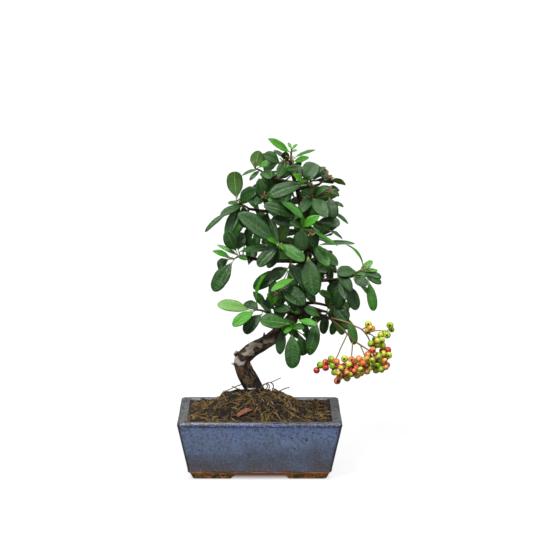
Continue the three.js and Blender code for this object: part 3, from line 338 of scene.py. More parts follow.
BRANCHES = (
    ((27, 158, 5, 3.4), (18, 170, -14, 2.6), (7, 177, -26, 2)),
    (
        (51, 233, 2, 3), (33, 234, -12, 2.2), (11, 234, -20, 2), (-9, 237, -22, 1.8), (-20, 240, -23, 1.6),
    ),
    ((47, 281, 4, 2.6), (29, 286, -8, 2), (7, 289, -14, 1.8), (-13, 292, -16, 1.5)),
    ((39, 320, 3, 1.9), (22, 324, -7, 1.6), (7, 328, -9, 1.4)),
    ((48, 207, 4, 3), (64, 212, -4, 2.2), (84, 213, -9, 2), (102, 217, -12, 1.6)),
    ((42, 186, 6, 2.6), (60, 187, -2, 1.6), (75, 184, -8, 1.4)),
    ((45, 296, 4, 2.2), (57, 303, -6, 1.7), (69, 308, -10, 1.5)),
    ((41, 313, 3, 1.9), (54, 316, -12, 1.5), (66, 319, -12, 1.3)),
    ((37, 171, 6, 3), (51, 178, -6, 2.2), (64, 175, -14, 1.8), (78, 169, -18, 1.5)),
    ((51, 257, 3, 2.6), (47, 262, -20, 1.9), (46, 267, -38, 1.5)),
    ((52, 237, 2, 2.8), (38, 241, -20, 2), (23, 246, -36, 1.6)),
    ((27, 158, 5, 3), (33, 158, -14, 2.1), (37, 159, -24, 1.6)),
    ((47, 281, 4, 2.6), (36, 288, 22, 2), (18, 292, 38, 1.5)),
    ((52, 232, 2, 3), (60, 236, 22, 2.1), (66, 240, 38, 1.5)),
    ((51, 250, 3, 2.8), (38, 252, 24, 2), (22, 256, 42, 1.5)),
    ((48, 207, 4, 3), (60, 211, 24, 2.1), (78, 214, 38, 1.5)),
    ((39, 320, 3, 2), (48, 325, 18, 1.5), (56, 327, 30, 1.3)),
    ((37, 171, 6, 3.2), (29, 178, 26, 2.2), (18, 181, 38, 1.5)),
    ((42, 186, 6, 3), (56, 182, 24, 2.1), (73, 177, 36, 1.5)),
)

# Pruned and broken stubs: where they start and end, and their radii there
STUBS = (
    ((-19, 124, -4), (-27, 131, -7), 4.4, 3),
    ((-20, 116, -3), (-31.5, 119, -6), 3.8, 0.9),
    ((4, 143, 0), (5, 154, -4), 2.6, 0.7),
    ((52, 238, 2), (54, 240, -9), 4.4, 3.8),
    ((-9, 95, 2), (-2, 102, 1), 3.6, 1.8),
)

# The anchor wire, from where it crosses the foot of the trunk out through both drainage holes: share of
# the way across to the hole, place behind the pot's middle line, and height
WIRE_TOP_X = -10.5
WIRE_WAY = (
    (0, -8.8, 91.8),
    (0.06, -8.4, 91.8),
    (0.09, -6.8, 91.6),
    (0.11, -2, 91),
    (0.15, 2, 87),
    (0.3, 0, 78),
    (0.58, 0, 68),
    (0.82, 0, 40),
    (1, 0, FLOOR_TOP + 6),
    (1, 0, FOOT_HEIGHT + 2),
    (1, 1, FOOT_HEIGHT - 2.4),
    (1, 12, FOOT_HEIGHT - 2.4),
)

# Stalks of the two bunches, the main one first, and their fruit: across, up, behind, and ripeness from
# 0 green over 0.5 pale orange to 1 deep red
LOWER_STALKS = (
    (
        (78, 169, -17), (89, 160, -20), (97, 152, -22), (105, 144, -24), (111, 140, -24), (120, 134, -26),
        (127, 128, -26), (131, 120, -26),
    ),
    ((97, 152, -22), (90, 137, -25), (84, 124, -25), (76, 119, -26), (68, 115, -26)),
    ((103, 146, -23), (102, 131, -26), (100, 120, -27), (92, 112, -26), (88, 106, -26)),
    ((111, 140, -24), (116, 128, -27), (117, 118, -27), (108, 111, -26)),
    ((120, 134, -26), (130, 131, -24), (138, 128, -24), (140, 122, -24)),
)
UPPER_STALKS = (
    ((79, 170, -18), (94, 166, -22), (105, 161, -22), (113, 157, -22), (121, 146, -20), (122, 139, -18)),
    ((113, 157, -22), (119, 160, -21), (122, 157, -21)),
    ((117, 153, -21), (124, 151, -19), (132, 144, -18)),
    ((122, 155, -21), (132, 156, -20), (141, 155, -19)),
)
LOWER_BERRIES = (
    (63, 111, -26, 0.8), (67, 117, -28, 0.12), (73, 120, -24, 0.85), (73, 114, -29, 0.9), (79, 124, -24, 0.1),
    (81, 116, -26, 0.15), (83, 109, -25, 0.15), (85, 121, -30, 0.6), (89, 115, -32, 0.95),
    (94, 116, -24, 0.85), (94, 124, -30, 0.28), (102, 123, -33, 0.68), (110, 124, -30, 0.55),
    (114, 119, -32, 0.6), (88, 103, -30, 0.55), (86, 99, -24, 0.7), (97, 102, -27, 0.25),
    (100, 111, -32, 0.85), (107, 113, -31, 0.75), (102, 107, -25, 0.6), (108, 105, -28, 0.3),
    (113, 109, -27, 0.35), (118, 116, -24, 0.72), (119, 110, -30, 0.5), (95, 108, -31, 0.75),
    (104, 117, -26, 0.65), (120, 129, -30, 0.55), (121, 122, -29, 0.2), (125, 134, -30, 0.65),
    (129, 124, -31, 0.95), (124, 117, -25, 0.2), (130, 117, -30, 0.15), (136, 120, -27, 0.15),
    (129, 111, -26, 0.25), (135, 112, -29, 0.15), (139, 125, -29, 0.85), (141, 117, -24, 0.65),
    (142, 134, -24, 0.85), (143, 128, -28, 0.3), (136, 133, -22, 0.65), (133, 127, -23, 0.2),
)
UPPER_BERRIES = (
    (128, 146, -17, 0.2), (134, 151, -18, 0.12), (135, 145, -21, 0.2), (131, 140, -19, 0.15),
    (136, 139, -16, 0.15), (127, 139, -14, 0.12), (123, 141, -21, 0.15), (141, 151, -20, 0.25),
    (146, 157, -18, 0.15), (144, 162, -20, 0.2), (120, 163, -22, 0.3), (120, 156, -24, 0.48),
    (124, 158, -18, 0.52),
)

# Smaller fruit that fills the bunches
LOWER_FILLING = (
    (82.8, 117.6, -18, 0.3), (82.8, 113.2, -20, 0.75), (90, 113.5, -36, 0.35), (87.8, 107.5, -36, 0.4),
    (91.4, 109.8, -20, 0.55), (96.8, 108.5, -36, 0.6), (109.8, 115, -20, 0.85), (111.8, 112.2, -36, 0.15),
    (112.5, 107.5, -34, 0.4), (107.8, 121.9, -24, 0.2), (119, 124.3, -33, 0.5), (115.8, 123.6, -22, 0.15),
    (125, 122.3, -35, 0.18), (125.6, 118, -34, 0.2), (131.2, 119.3, -22, 0.12), (133.6, 123, -34, 0.22),
    (138.5, 122, -34, 0.52), (123.7, 113.9, -33, 0.3), (128.3, 129, -24, 0.45), (136.9, 130, -33, 0.3),
    (132, 126, -35, 0.1), (99, 117.5, -34, 0.3), (77, 119.5, -20, 0.3), (105, 110.5, -38, 0.66),
    (117.8, 111, -22, 0.2), (94, 104, -22, 0.6), (122, 126, -20, 0.6), (140, 114.5, -34, 0.5),
    (133, 114.8, -20, 0.16), (100, 106, -36, 0.35),
)
UPPER_FILLING = (
    (138.5, 153.5, -14, 0.12), (130.3, 144.1, -24, 0.35), (126.5, 142.5, -13, 0.2), (122, 159, -26, 0.4),
    (133, 148, -13, 0.15),
)

# Small leaves inside the crown, between the sprays, on wood that stands higher than INNER_FLOOR, kept dark
# as painted shade inside the crown: across and up of each
INNER_LEAVES = (
    (15, 338), (29, 329), (29, 304), (-7, 295), (1, 285), (7, 277), (34, 280), (34, 265), (62, 274),
    (60, 287), (-24, 272), (-13, 264), (-3, 258), (-11, 254), (-10, 241), (26, 239), (12, 250), (78, 217),
    (56, 194), (25, 189), (-1, 191), (7, 181), (46, 171), (50, 160), (36, 152), (81, 160), (95, 162),
    (111, 218), (125, 213), (70, 257), (44, 300), (20, 312), (48, 318), (36, 316), (58, 300), (-4, 306),
    (16, 296), (66, 222), (92, 206), (44, 216), (30, 164), (18, 168), (40, 178), (54, 148), (90, 175),
    (40, 330), (52, 330), (10, 318),
)
INNER_FLOOR = 150
INNER_LENGTH = (17, 25)
INNER_WIDTH_SHARE = (0.42, 0.52)
INNER_DEPTH = (-10, 8)

# Berries whose old flower end faces the viewer, by their number in their list
LOWER_FACING = (2, 10, 11, 15, 35)
UPPER_FACING = (7, 8, 9, 10)

# Old flower stalks with buds, at the end of a spray's twig: spray, then across and up of the cluster
BUD_CLUSTERS = (
    ("spray_top_left", -5, 341), ("spray_crown", 25, 344), ("spray_brow", 34, 346),
    ("spray_upper_left_inner", 4, 305), ("spray_upper_left", -24, 301), ("spray_upper_right_inner", 56, 317),
    ("spray_top_right", 72, 333), ("spray_top_right", 76, 326), ("spray_upper_right", 77, 311),
    ("spray_right_end", 118, 225), ("spray_low_inner", 20, 199), ("spray_middle_left", -33, 237),
    ("spray_face", 58, 264),
)

# Pits in the glaze of the front: across and up on the wall, and radius
GLAZE_PITS = (
    (34.5, 49, 1.6), (50.5, 46.5, 1.8), (58, 55.5, 1.4), (38, 36.5, 1.5), (-66, 35, 1.3), (-44, 36.5, 1.1),
    (51.5, 27, 1), (45.5, 46, 0.9), (-1.5, 57, 1), (-70, 17, 0.8), (83, 55, 1.2), (79, 51, 0.9), (74, 45, 1),
    (66, 19, 0.9), (80, 31, 0.8), (-71, 40, 0.8), (-17, 31, 0.7), (14, 24, 0.7), (-52, 13, 0.7),
    (29, 13, 0.8),
)


NODE_PREFIXES = ("GeometryNode", "ShaderNode", "FunctionNode", "Node")
INNER_SEED, SPRAY_SEED, BERRY_SEED, BUD_SEED = 8, 5, 12, 31


# Small helpers


def linear(hexcode):
    """The linear colour of an sRGB hex value."""
    channels = [int(hexcode[i : i + 2], 16) / 255 for i in (1, 3, 5)]
    return (*[c / 12.92 if c <= 0.04045 else ((c + 0.055) / 1.055) ** 2.4 for c in channels], 1)


def spot(across, up, behind):
    """The place in mm that is seen at across and up, and lies that far behind the pot's middle."""
    return Vector((across, 0, up)).lerp(EYE, behind / EYE.y)


def placed(v):
    """A place in mm around the pot's middle, in metres in the frame."""
    return v * MM + POT_MIDDLE


def mix(a, b, share):
    return a + (b - a) * share


def smoothstep(low, high, value):
    t = min(max((value - low) / (high - low), 0), 1)
    return t * t * (3 - 2 * t)


def draws(seed):
    """Repeatable draws between 0 and 1, the same as the ones that spread the leaves of the solids."""
    state = seed

    def draw():
        nonlocal state
        state = (state + 0x6D2B79F5) & 0xFFFFFFFF
        t = state
        t = ((t ^ (t >> 15)) * (t | 1)) & 0xFFFFFFFF
        t ^= (t + (((t ^ (t >> 7)) * (t | 61)) & 0xFFFFFFFF)) & 0xFFFFFFFF
        return ((t ^ (t >> 14)) & 0xFFFFFFFF) / 4294967296

    return draw


def smooth_path(points, steps):
    """Places on a smooth line through the points, with that many steps to each span."""
    ends = [points[0] * 2 - points[1], *points, points[-1] * 2 - points[-2]]
    path = []
    for before, here, there, after in zip(ends, ends[1:], ends[2:], ends[3:]):
        spans = [max((b - a).length, 1e-6) ** 0.5 for a, b in ((before, here), (here, there), (there, after))]
        first, span, last = spans
        leave = (here - before) / first - (there - before) / (first + span) + (there - here) / span
        arrive = (there - here) / span - (after - here) / (span + last) + (after - there) / last
        leave, arrive = leave * span, arrive * span
        for k in range(steps):
            t = k / steps
            path.append(
                here * (2 * t**3 - 3 * t**2 + 1)
                + leave * (t**3 - 2 * t**2 + t)
                + there * (3 * t**2 - 2 * t**3)
                + arrive * (t**3 - t**2)
            )
    path.append(points[-1].copy())
    return path


def along_values(values, steps):
    """The values at the places of smooth_path."""
    spread = [mix(a, b, k / steps) for a, b in zip(values, values[1:]) for k in range(steps)]
    return [*spread, values[-1]]


def transported(path):
    """Along each place of a path: its direction and two directions across it, without twist."""
    frames = []
    side = None
    for i in range(len(path)):
        along = (path[min(i + 1, len(path) - 1)] - path[max(i - 1, 0)]).normalized()
        if side is None:
            side = Vector((0, 1, 0)) if abs(along.x) > 0.8 else Vector((1, 0, 0))
        side = (side - along * side.dot(along)).normalized()
        frames.append((along, side, along.cross(side)))
    return frames


def loft(bm, rings, caps=True):
    """Faces between rings of equal length, which run counterclockwise seen from the last one."""
    rows = [[bm.verts.new(v) for v in ring] for ring in rings]
    count = len(rows[0])
    for low, high in zip(rows, rows[1:]):
        for i in range(count):
            j = (i + 1) % count
            bm.faces.new((low[i], low[j], high[j], high[i]))
    if caps:
        bm.faces.new(rows[0][::-1])
        bm.faces.new(rows[-1])
    return rows


def tube(bm, path, radii, sides, swell=None, dome=0.0):
    """A closed round stem along a path in mm; dome rounds its far end by that share of its radius."""
    rings = []
    path, radii = [placed(place) for place in path], [radius * MM for radius in radii]
    if dome:
        tip = (path[-1] - path[-2]).normalized() * radii[-1] * dome
        last, wide = path[-1], radii[-1]
        path += [last + tip * 0.6, last + tip * 0.95]
        radii += [wide * 0.8, wide * 0.3]
    for i, (place, radius, (_, side, other)) in enumerate(zip(path, radii, transported(path))):
        ring = []
        for k in range(sides):
            angle = 2 * math.pi * k / sides
            reach = radius * (swell(angle, i / (len(path) - 1)) if swell else 1)
            ring.append(place + side * (reach * math.cos(angle)) + other * (reach * math.sin(angle)))
        rings.append(ring)
    loft(bm, rings)


def feed(made, *inputs, **sockets):
    """Sets or links a node's inputs: first the ones in use, in their order, then others by name.

    A colour is sRGB hex, a list is several links, and a node's outputs stand for the first one in use.
    """
    in_use = [socket for socket in made.inputs if socket.enabled]
    named = [(made.inputs[key.replace("_", " ")], value) for key, value in sockets.items()]
    for socket, value in (*zip(in_use, inputs), *named):
        for source in value if isinstance(value, list) else [value]:
            if isinstance(source, bpy.types.bpy_prop_collection):
                source = next(output for output in source if output.enabled)
            if isinstance(source, bpy.types.NodeSocket):
                made.id_data.links.new(source, socket)
            else:
                is_colour = isinstance(source, str) and source.startswith("#")
                socket.default_value = linear(source) if is_colour else source


def add(tree, kind, *inputs, stops=(), curve=(), **values):
    """Adds a node of a kind, with its operation or data type after a space, and gives its outputs.

    Of the values, those with a capital are inputs and the others settings. Stops and curve fill its ramp
    or its curve.
    """
    kind, _, mode = kind.partition(" ")
    made = tree.nodes.new(
        next(prefix + kind for prefix in NODE_PREFIXES if hasattr(bpy.types, prefix + kind))
    )
    if mode:
        setattr(made, "operation" if hasattr(made, "operation") else "data_type", mode)
    for name in [name for name in values if name.islower()]:
        setattr(made, name, values.pop(name))
    if stops:
        elements = made.color_ramp.elements
        while len(elements) < len(stops):
            elements.new(0.5)
        for element, (position, color) in zip(elements, stops):
            element.position, element.color = position, linear(color)
    if curve:
        points = made.mapping.curves[0].points
        while len(points) < len(curve):
            points.new(0.5, 0.5)
        for point, place in zip(points, curve):
            point.location = place
        made.mapping.update()
    feed(made, *inputs, **values)
    return made.outputs


def new_material(name, **values):
    """A material, its Principled shader with these values, and the function that adds nodes to it."""
    material = bpy.data.materials.new(name)
    material.use_nodes = True
    shader = material.node_tree.nodes["Principled BSDF"]
    feed(shader, **values)
    return material, shader, partial(add, material.node_tree)


def socket_name(key):
    return key.replace("_", " ").capitalize()


def new_group(name, **inputs):
    """A Geometry Nodes tree with a geometry input and the named ones, what adds its nodes, and its inputs."""
    tree = bpy.data.node_groups.new(name, "GeometryNodeTree")
    for way in ("INPUT", "OUTPUT"):
        tree.interface.new_socket("Geometry", in_out=way, socket_type="NodeSocketGeometry")
    for key, kind in inputs.items():
        tree.interface.new_socket(socket_name(key), in_out="INPUT", socket_type="NodeSocket" + kind)
    node = partial(add, tree)
    return tree, node, node("GroupInput")


def grow(obj, tree, **values):
    """Runs a tree on an object and leaves the plain mesh that it makes."""
    modifier = obj.modifiers.new("grow", "NODES")
    modifier.node_group = tree
    wanted = {socket_name(key): value for key, value in values.items()}
    for item in tree.interface.items_tree:
        if item.item_type == "SOCKET" and item.in_out == "INPUT" and item.name in wanted:
            modifier[item.identifier] = wanted.pop(item.name)
    if wanted:
        raise RuntimeError(f"the tree {tree.name} has no inputs {sorted(wanted)}")
    return settled(obj)


def settled(obj):
    """Turns an object with its modifiers into a plain mesh."""
    depsgraph = bpy.context.evaluated_depsgraph_get()
    mesh = bpy.data.meshes.new_from_object(
        obj.evaluated_get(depsgraph), preserve_all_data_layers=True, depsgraph=depsgraph
    )
    if not mesh.polygons:
        raise RuntimeError(f"{obj.name} came out with no faces")
    used = sorted({polygon.material_index for polygon in mesh.polygons})
    kept = [mesh.materials[i] for i in used if i < len(mesh.materials)]
    places = [used.index(polygon.material_index) for polygon in mesh.polygons]
    mesh.materials.clear()
    for material in kept:
        mesh.materials.append(material)
    mesh.polygons.foreach_set("material_index", places)
    obj.modifiers.clear()
    obj.data = mesh
    return obj


def new_object(name, mesh):
    obj = bpy.data.objects.new(name, mesh)
    bpy.context.scene.collection.objects.link(obj)
    return obj


def from_bmesh(name, bm, *materials, outward=True):
    """Turns a bmesh into a smooth object with these materials and its faces outward."""
    if outward:
        bmesh.ops.recalc_face_normals(bm, faces=bm.faces)
    mesh = bpy.data.meshes.new(name)
    bm.to_mesh(mesh)
    bm.free()
    mesh.polygons.foreach_set("use_smooth", [True] * len(mesh.polygons))
    for material in materials:
        mesh.materials.append(material)
    return new_object(name, mesh)


def finish_piece(obj, slot, *nodes):
    """The piece rides on the pot's and tree's one body and stands for its nodes."""
    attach(obj, "root")
    if nodes:
        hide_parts(*nodes)


class Growth:
    """Points, edges and their values for one piece, before its nodes grow it."""

    VALUES = {
        "is_leaf": False, "thickness": 0.0, "heading": UP, "upward": UP, "side": UP, "bend_radius": 0.0,
        "half_width": 0.0, "arch": 0.0, "fold": 0.0, "taper": 0.0, "age": 0.0, "seed": 0.0, "sickle": 0.0,
        "ripe": 0.0, "axis": UP, "size": 1.0,
    }

    def __init__(self):
        self.points, self.edges, self.values = [], [], {key: [] for key in self.VALUES}

    def point(self, place, **values):
        self.points.append(placed(place))
        for key, usual in self.VALUES.items():
            self.values[key].append(values.get(key, usual))

    def line(self, path, radii, **values):
        for i, (place, radius) in enumerate(zip(path, radii)):
            if i:
                self.edges.append((len(self.points) - 1, len(self.points)))
            self.point(place, thickness=radius * MM, **values)

    def cloud(self, name):
        mesh = bpy.data.meshes.new(name)
        mesh.from_pydata(self.points, self.edges, [])
        for key, values in self.values.items():
            usual = self.VALUES[key]
            kind = "BOOLEAN" if usual is False else "FLOAT_VECTOR" if usual is UP else "FLOAT"
            layer = mesh.attributes.new(key, kind, "POINT").data
            if kind == "FLOAT_VECTOR":
                layer.foreach_set("vector", [c for v in values for c in v])
            else:
                layer.foreach_set("value", values)
        return new_object(name, mesh)


# Materials


def stoneware_material(pot):
    """Stoneware, slip glazed and wood-ash mottled: a hard gloss over a grey-blue that turns brown at the
    edges, with iron specks, pin holes, and bare orange clay on the base and feet."""
    material, shader, node = new_material(
        "glazed stoneware", Roughness=0.32, IOR=1.5, Coat_Weight=0.35, Coat_Roughness=0.15
    )
    place = node("TexCoord")["Object"]
    height = node("SeparateXYZ", place)["Z"]
    broad = node("TexNoise", place, Scale=45, Detail=6, Roughness=0.65)
    fine = node("TexNoise", place, Scale=300, Detail=5, Roughness=0.7)
    grit = node("TexNoise", place, Scale=1000, Detail=2)
    # From the base to the rim the glaze lies thicker and turns bluer; lumps and runs break it up
    rise = node("MapRange", height, 0.008, 0.062, -0.12, 0.95)
    rise = node("Math MULTIPLY_ADD", broad, 1.4, rise)
    rise = node("Math MULTIPLY_ADD", fine, 0.9, rise)
    rise = node("Math SUBTRACT", rise, 1.05)
    glaze = node(
        "ValToRGB", rise, stops=((0, pot.low_glaze), (0.4, "#525d73"), (0.75, pot.glaze), (1, "#5d7199"))
    )
    mottle = node("MapRange", fine, 0.46, 0.62, 0, 0.85)
    glaze = node("Mix RGBA", mottle, glaze, "#444148")
    light = node("MapRange", grit, 0.52, 0.7, 0, 0.45)
    glaze = node("Mix RGBA", light, glaze, "#8799b8")
    # The speckled band where the glaze breaks over the rim's outer edge, and the grey top of the rim
    speck = node("TexNoise", place, Scale=380, Detail=4, Roughness=0.75)
    beads = node("TexVoronoi", place, Scale=420, Randomness=0.8, feature="F1")
    beads = node("MapRange", beads, 0.42, 0.2)
    low_edge = node("Math MULTIPLY_ADD", speck, 0.004, height)
    low_edge = node("MapRange", low_edge, 0.0628, 0.0636)
    band = node(
        "ValToRGB", speck,
        stops=(
            (0.36, "#1a1e30"), (0.45, "#302d36"), (0.5, "#4d3b30"), (0.54, "#28355c"), (0.62, "#3e5288"),
            (0.7, "#55648f"),
        ),
    )
    band = node("Mix RGBA", beads, band, "#6a7cae")
    glaze = node("Mix RGBA", low_edge, glaze, band)
    top = node("MapRange", height, 0.0648, 0.0657)
    # The top of the rim: grey mottled glaze, with dark brown blotches that are painted shade cast by the soil
    rim_blotches_and_shade = node("TexNoise", place, Scale=130, Detail=4, Roughness=0.7)
    rim = node(
        "ValToRGB", rim_blotches_and_shade,
        stops=((0.38, "#1d1a17"), (0.45, "#45433e"), (0.5, "#6d7276"), (0.55, "#55534e"), (0.62, "#2c2721")),
    )
    glaze = node("Mix RGBA", top, glaze, rim)
    # Darker brown along the pot's upright corners
    facing = node("SeparateXYZ", node("NewGeometry")["Normal"])
    corner = node("Math MULTIPLY", facing["X"], facing["Y"])
    corner = node("Math ABSOLUTE", corner)
    corner = node("Math MULTIPLY_ADD", speck, 0.3, corner)
    corner = node("MapRange", corner, 0.46, 0.6, 0, 0.85)
    glaze = node("Mix RGBA", corner, glaze, "#38291f")
    # Pits of burst bubbles, on the front
    holes = None
    flat = node("VectorMath MULTIPLY", place, (1, 0, 1))
    for across, up, radius in GLAZE_PITS:
        middle = POT_MIDDLE + Vector((across, 0, up)) * MM
        away = node("VectorMath DISTANCE", flat, (middle.x, 0, middle.z))
        hole = node("MapRange", away, radius * MM, radius * MM * 0.4, 0, 1)
        holes = hole if holes is None else node("Math MAXIMUM", holes, hole)
    front = node("MapRange", facing["Y"], -0.5, -0.7)
    holes = node("Math MULTIPLY", holes, front)
    glaze = node("Mix RGBA", holes, glaze, "#2b2a26")
    # Bare clay below the glaze, with runs of olive glaze on the feet
    clay_noise = node("TexNoise", place, Scale=120, Detail=5, Roughness=0.65)
    clay = node("ValToRGB", clay_noise, stops=((0.3, "#a3532e"), (0.5, pot.clay), (0.68, "#e6a874")))
    blot = node("TexNoise", place, Scale=170, Detail=5, Roughness=0.75)
    stain = node("MapRange", blot, 0.4, 0.47)
    ragged = node("Math MULTIPLY_ADD", blot, 0.006, height)
    lower = node("MapRange", ragged, 0.0094, 0.0084)
    upper = node("MapRange", ragged, 0.0036, 0.0044)
    stain = node("Math MULTIPLY", stain, lower)
    stain = node("Math MULTIPLY", stain, upper)
    run = node(
        "ValToRGB", fine, stops=((0.35, "#1b1d10"), (0.48, "#3d4018"), (0.58, "#7c7426"), (0.7, "#a06a30"))
    )
    clay = node("Mix RGBA", stain, clay, run)
    glazed = node("Attribute", attribute_name="glazed")["Fac"]
    color = node("Mix RGBA", glazed, clay, glaze)
    rough = node("MapRange", glazed, 0, 1, 0.85, 0.36)
    relief = node("Math SUBTRACT", fine, holes)
    bump = node("Bump", Strength=0.35, Distance=0.0006, Height=relief)
    feed(shader, Base_Color=color, Roughness=rough, Normal=bump)
    return material


def bark_material(bark):
    """Living bark of an old shrub: fibrous plates over dark cracks, weathered grey with a painted highlight
    on the upper side.
    """
    material, shader, node = new_material("cracked bark", Roughness=0.85, IOR=1.45)
    place = node("TexCoord")["Object"]
    relief, weathered, young = (
        node("Attribute", attribute_name=name)["Fac"] for name in ("relief", "weathered", "young")
    )
    fine = node("TexNoise", place, Scale=520, Detail=6, Roughness=0.7)
    broad = node("TexNoise", place, Scale=90, Detail=4)
    tone = node("Math MULTIPLY_ADD", fine, 0.5, relief)
    old = node(
        "ValToRGB", tone,
        stops=((0.46, bark.crack), (0.68, "#0f0804"), (0.82, bark.ridge), (0.94, "#35251a"), (1, "#5a4632")),
    )
    old = node("Mix RGBA", node("MapRange", broad, 0.45, 0.7, 0, 0.5), old, "#2f190b")
    # Pale grey of weathered bark, which also serves as the painted highlight on the bend's upper, forward
    # side
    grey = node("ValToRGB", tone, stops=((0.3, "#1b140e"), (0.54, bark.weathered), (0.9, "#ada193")))
    color = node("Mix RGBA", weathered, old, grey)
    color = node("Mix RGBA", young, color, "#3a2618")
    bump = node("Bump", Strength=0.7, Distance=0.0008, Height=fine)
    feed(shader, Base_Color=color, Normal=bump)
    return material


def twig_material():
    """Young wood: smooth bark that is brown at the branch and turns green toward the soft tip."""
    material, shader, node = new_material("young twig bark", Roughness=0.6, IOR=1.45)
    place = node("TexCoord")["Object"]
    age = node("Attribute", attribute_name="age")["Fac"]
    fine = node("TexNoise", place, Scale=300, Detail=4)
    tone = node("Math MULTIPLY_ADD", fine, 0.4, age)
    color = node(
        "ValToRGB", tone, stops=((0.2, "#2e1d12"), (0.55, "#4b301d"), (0.8, "#4d5022"), (1, "#5d8a2a"))
    )
    bump = node("Bump", Strength=0.4, Distance=0.0003, Height=fine)
    feed(shader, Base_Color=color, Normal=bump)
    return material


def leaf_material(leaf):
    """A leathery evergreen leaf: waxed dark upper side with a fine midrib, matt pale underside."""
    material, shader, node = new_material("waxed evergreen leaf", IOR=1.45, Specular_IOR_Level=0.6)
    place = node("TexCoord")["Object"]
    lane = node("SeparateXYZ", node("Attribute", attribute_name="lane")["Vector"])
    skin, age, seed, half_width = (
        node("Attribute", attribute_name=name)["Fac"] for name in ("skin", "age", "seed", "half_width")
    )
    aside = node("Math ABSOLUTE", lane["X"])
    broad = node("TexNoise", place, Scale=90, Detail=4, Roughness=0.6)
    fine = node("TexNoise", place, Scale=700, Detail=3, Roughness=0.6)
    tone = node("Math MULTIPLY_ADD", broad, 0.3, -0.15)
    tone = node("Math ADD", tone, age)
    tone = node("Math MULTIPLY", tone, 0.8)
    upper = node(
        "ValToRGB", tone,
        stops=(
            (0, leaf.old), (0.16, "#1d4c0a"), (0.34, "#2d6a0c"), (0.52, "#37800a"), (0.7, leaf.young),
            (0.82, "#569a1c"), (0.9, "#6a9846"),
        ),
    )
    under = node(
        "ValToRGB", tone,
        stops=((0, "#22400f"), (0.2, "#375c18"), (0.4, leaf.underside), (0.7, "#5f9630"), (0.9, "#7fb558")),
    )
    # The midrib, about 0.7 mm wide, and side veins every 3 mm that run forward to the margin
    rib = node("Math MULTIPLY", aside, half_width)
    rib = node("MapRange", rib, 0.00055, 0.0001)
    forward = node("Math MULTIPLY_ADD", aside, -1.1, node("Math MULTIPLY", lane["Y"], 11))
    wander = node("Math MULTIPLY_ADD", broad, 1.6, forward)
    vein = node("Math PINGPONG", wander, 0.5)
    vein = node("MapRange", vein, 0.12, 0)
    upper = node("Mix RGBA", node("Math MULTIPLY", vein, 0.07), upper, "#6d9a56")
    upper = node(
        "Mix RGBA", node("Math MULTIPLY", rib, node("MapRange", seed, 0.5, 1, 0.12, 0.55)), upper, "#6f9455",
    )
    under = node("Mix RGBA", node("Math MULTIPLY", rib, 0.6), under, "#93b566")
    # Dry brown flecks on a few leaves
    fleck = node("TexNoise", place, Scale=160, Detail=3, Roughness=0.55)
    fleck = node("MapRange", fleck, 0.69, 0.72)
    fleck = node("Math MULTIPLY", fleck, node("MapRange", seed, 0.6, 0.65))
    # A lighter green along the margin of every leaf: a painted highlight on its edge
    edge_highlight = node("MapRange", aside, 0.86, 1, 0, 0.3)
    upper = node("Mix RGBA", edge_highlight, upper, "#3d6a26")
    is_top = node("Math GREATER_THAN", skin, 0)
    color = node("Mix RGBA", is_top, under, upper)
    color = node("Mix RGBA", fleck, color, "#6d4a2a")
    petiole = node("MapRange", lane["Y"], 0.14, 0.04, 0, 0.8)
    color = node("Mix RGBA", petiole, color, "#7b9a38")
    rough = node("MapRange", is_top, 0, 1, 0.62, 0.3)
    rough = node("Math MULTIPLY_ADD", fine, 0.15, rough)
    height = node("Math MULTIPLY_ADD", vein, -0.8, fine)
    height = node("Math MULTIPLY_ADD", broad, 4, height)
    bump = node("Bump", Strength=0.55, Distance=0.0008, Height=height)
    feed(shader, Base_Color=color, Roughness=rough, Normal=bump)
    return material


def berry_material(berry):
    """A fleshy firethorn fruit: a smooth waxy skin that ripens unevenly from green over orange to red."""
    material, shader, node = new_material(
        "waxy berry skin", Roughness=0.3, IOR=1.42, Coat_Weight=0.35, Coat_Roughness=0.15
    )
    place = node("TexCoord")["Object"]
    ripe, pole = (node("Attribute", attribute_name=name)["Fac"] for name in ("ripe", "pole"))
    broad = node("TexNoise", place, Scale=240, Detail=3)
    fine = node("TexNoise", place, Scale=1400, Detail=2)
    tone = node("Math MULTIPLY_ADD", broad, 0.9, -0.45)
    tone = node("Math ADD", tone, ripe)
    tone = node("Math MULTIPLY_ADD", pole, -0.12, tone)
    color = node(
        "ValToRGB", tone,
        stops=(
            (0, berry.unripe), (0.16, "#96b420"), (0.3, "#b9bb34"), (0.42, "#d0a548"), (0.56, "#cf7440"),
            (0.7, "#c84f30"), (0.84, "#b0281a"), (1, berry.ripe),
        ),
    )
    color = node("Mix RGBA", node("MapRange", fine, 0.62, 0.72, 0, 0.35), color, "#f0d9a0")
    bump = node("Bump", Strength=0.15, Distance=0.0003, Height=broad)
    feed(shader, Base_Color=color, Normal=bump)
    return material


def mottled_material(name, roughness, scale, stops, bump_height, attribute=None, share=0.5, **values):
    """A surface whose colour wanders along a ramp by fine noise, and by an attribute where one is named."""
    material, shader, node = new_material(name, Roughness=roughness, **values)
    relief = node("TexNoise", node("TexCoord")["Object"], Scale=scale, Detail=5, Roughness=0.65)
    tone = relief
    if attribute:
        tone = node("Mix", share, relief, node("Attribute", attribute_name=attribute)["Fac"])
    color = node("ValToRGB", tone, stops=stops)
    bump = node("Bump", Strength=0.6, Distance=bump_height * MM, Height=relief)
    feed(shader, Base_Color=color, Normal=bump)
    return material


# Geometry Nodes trees


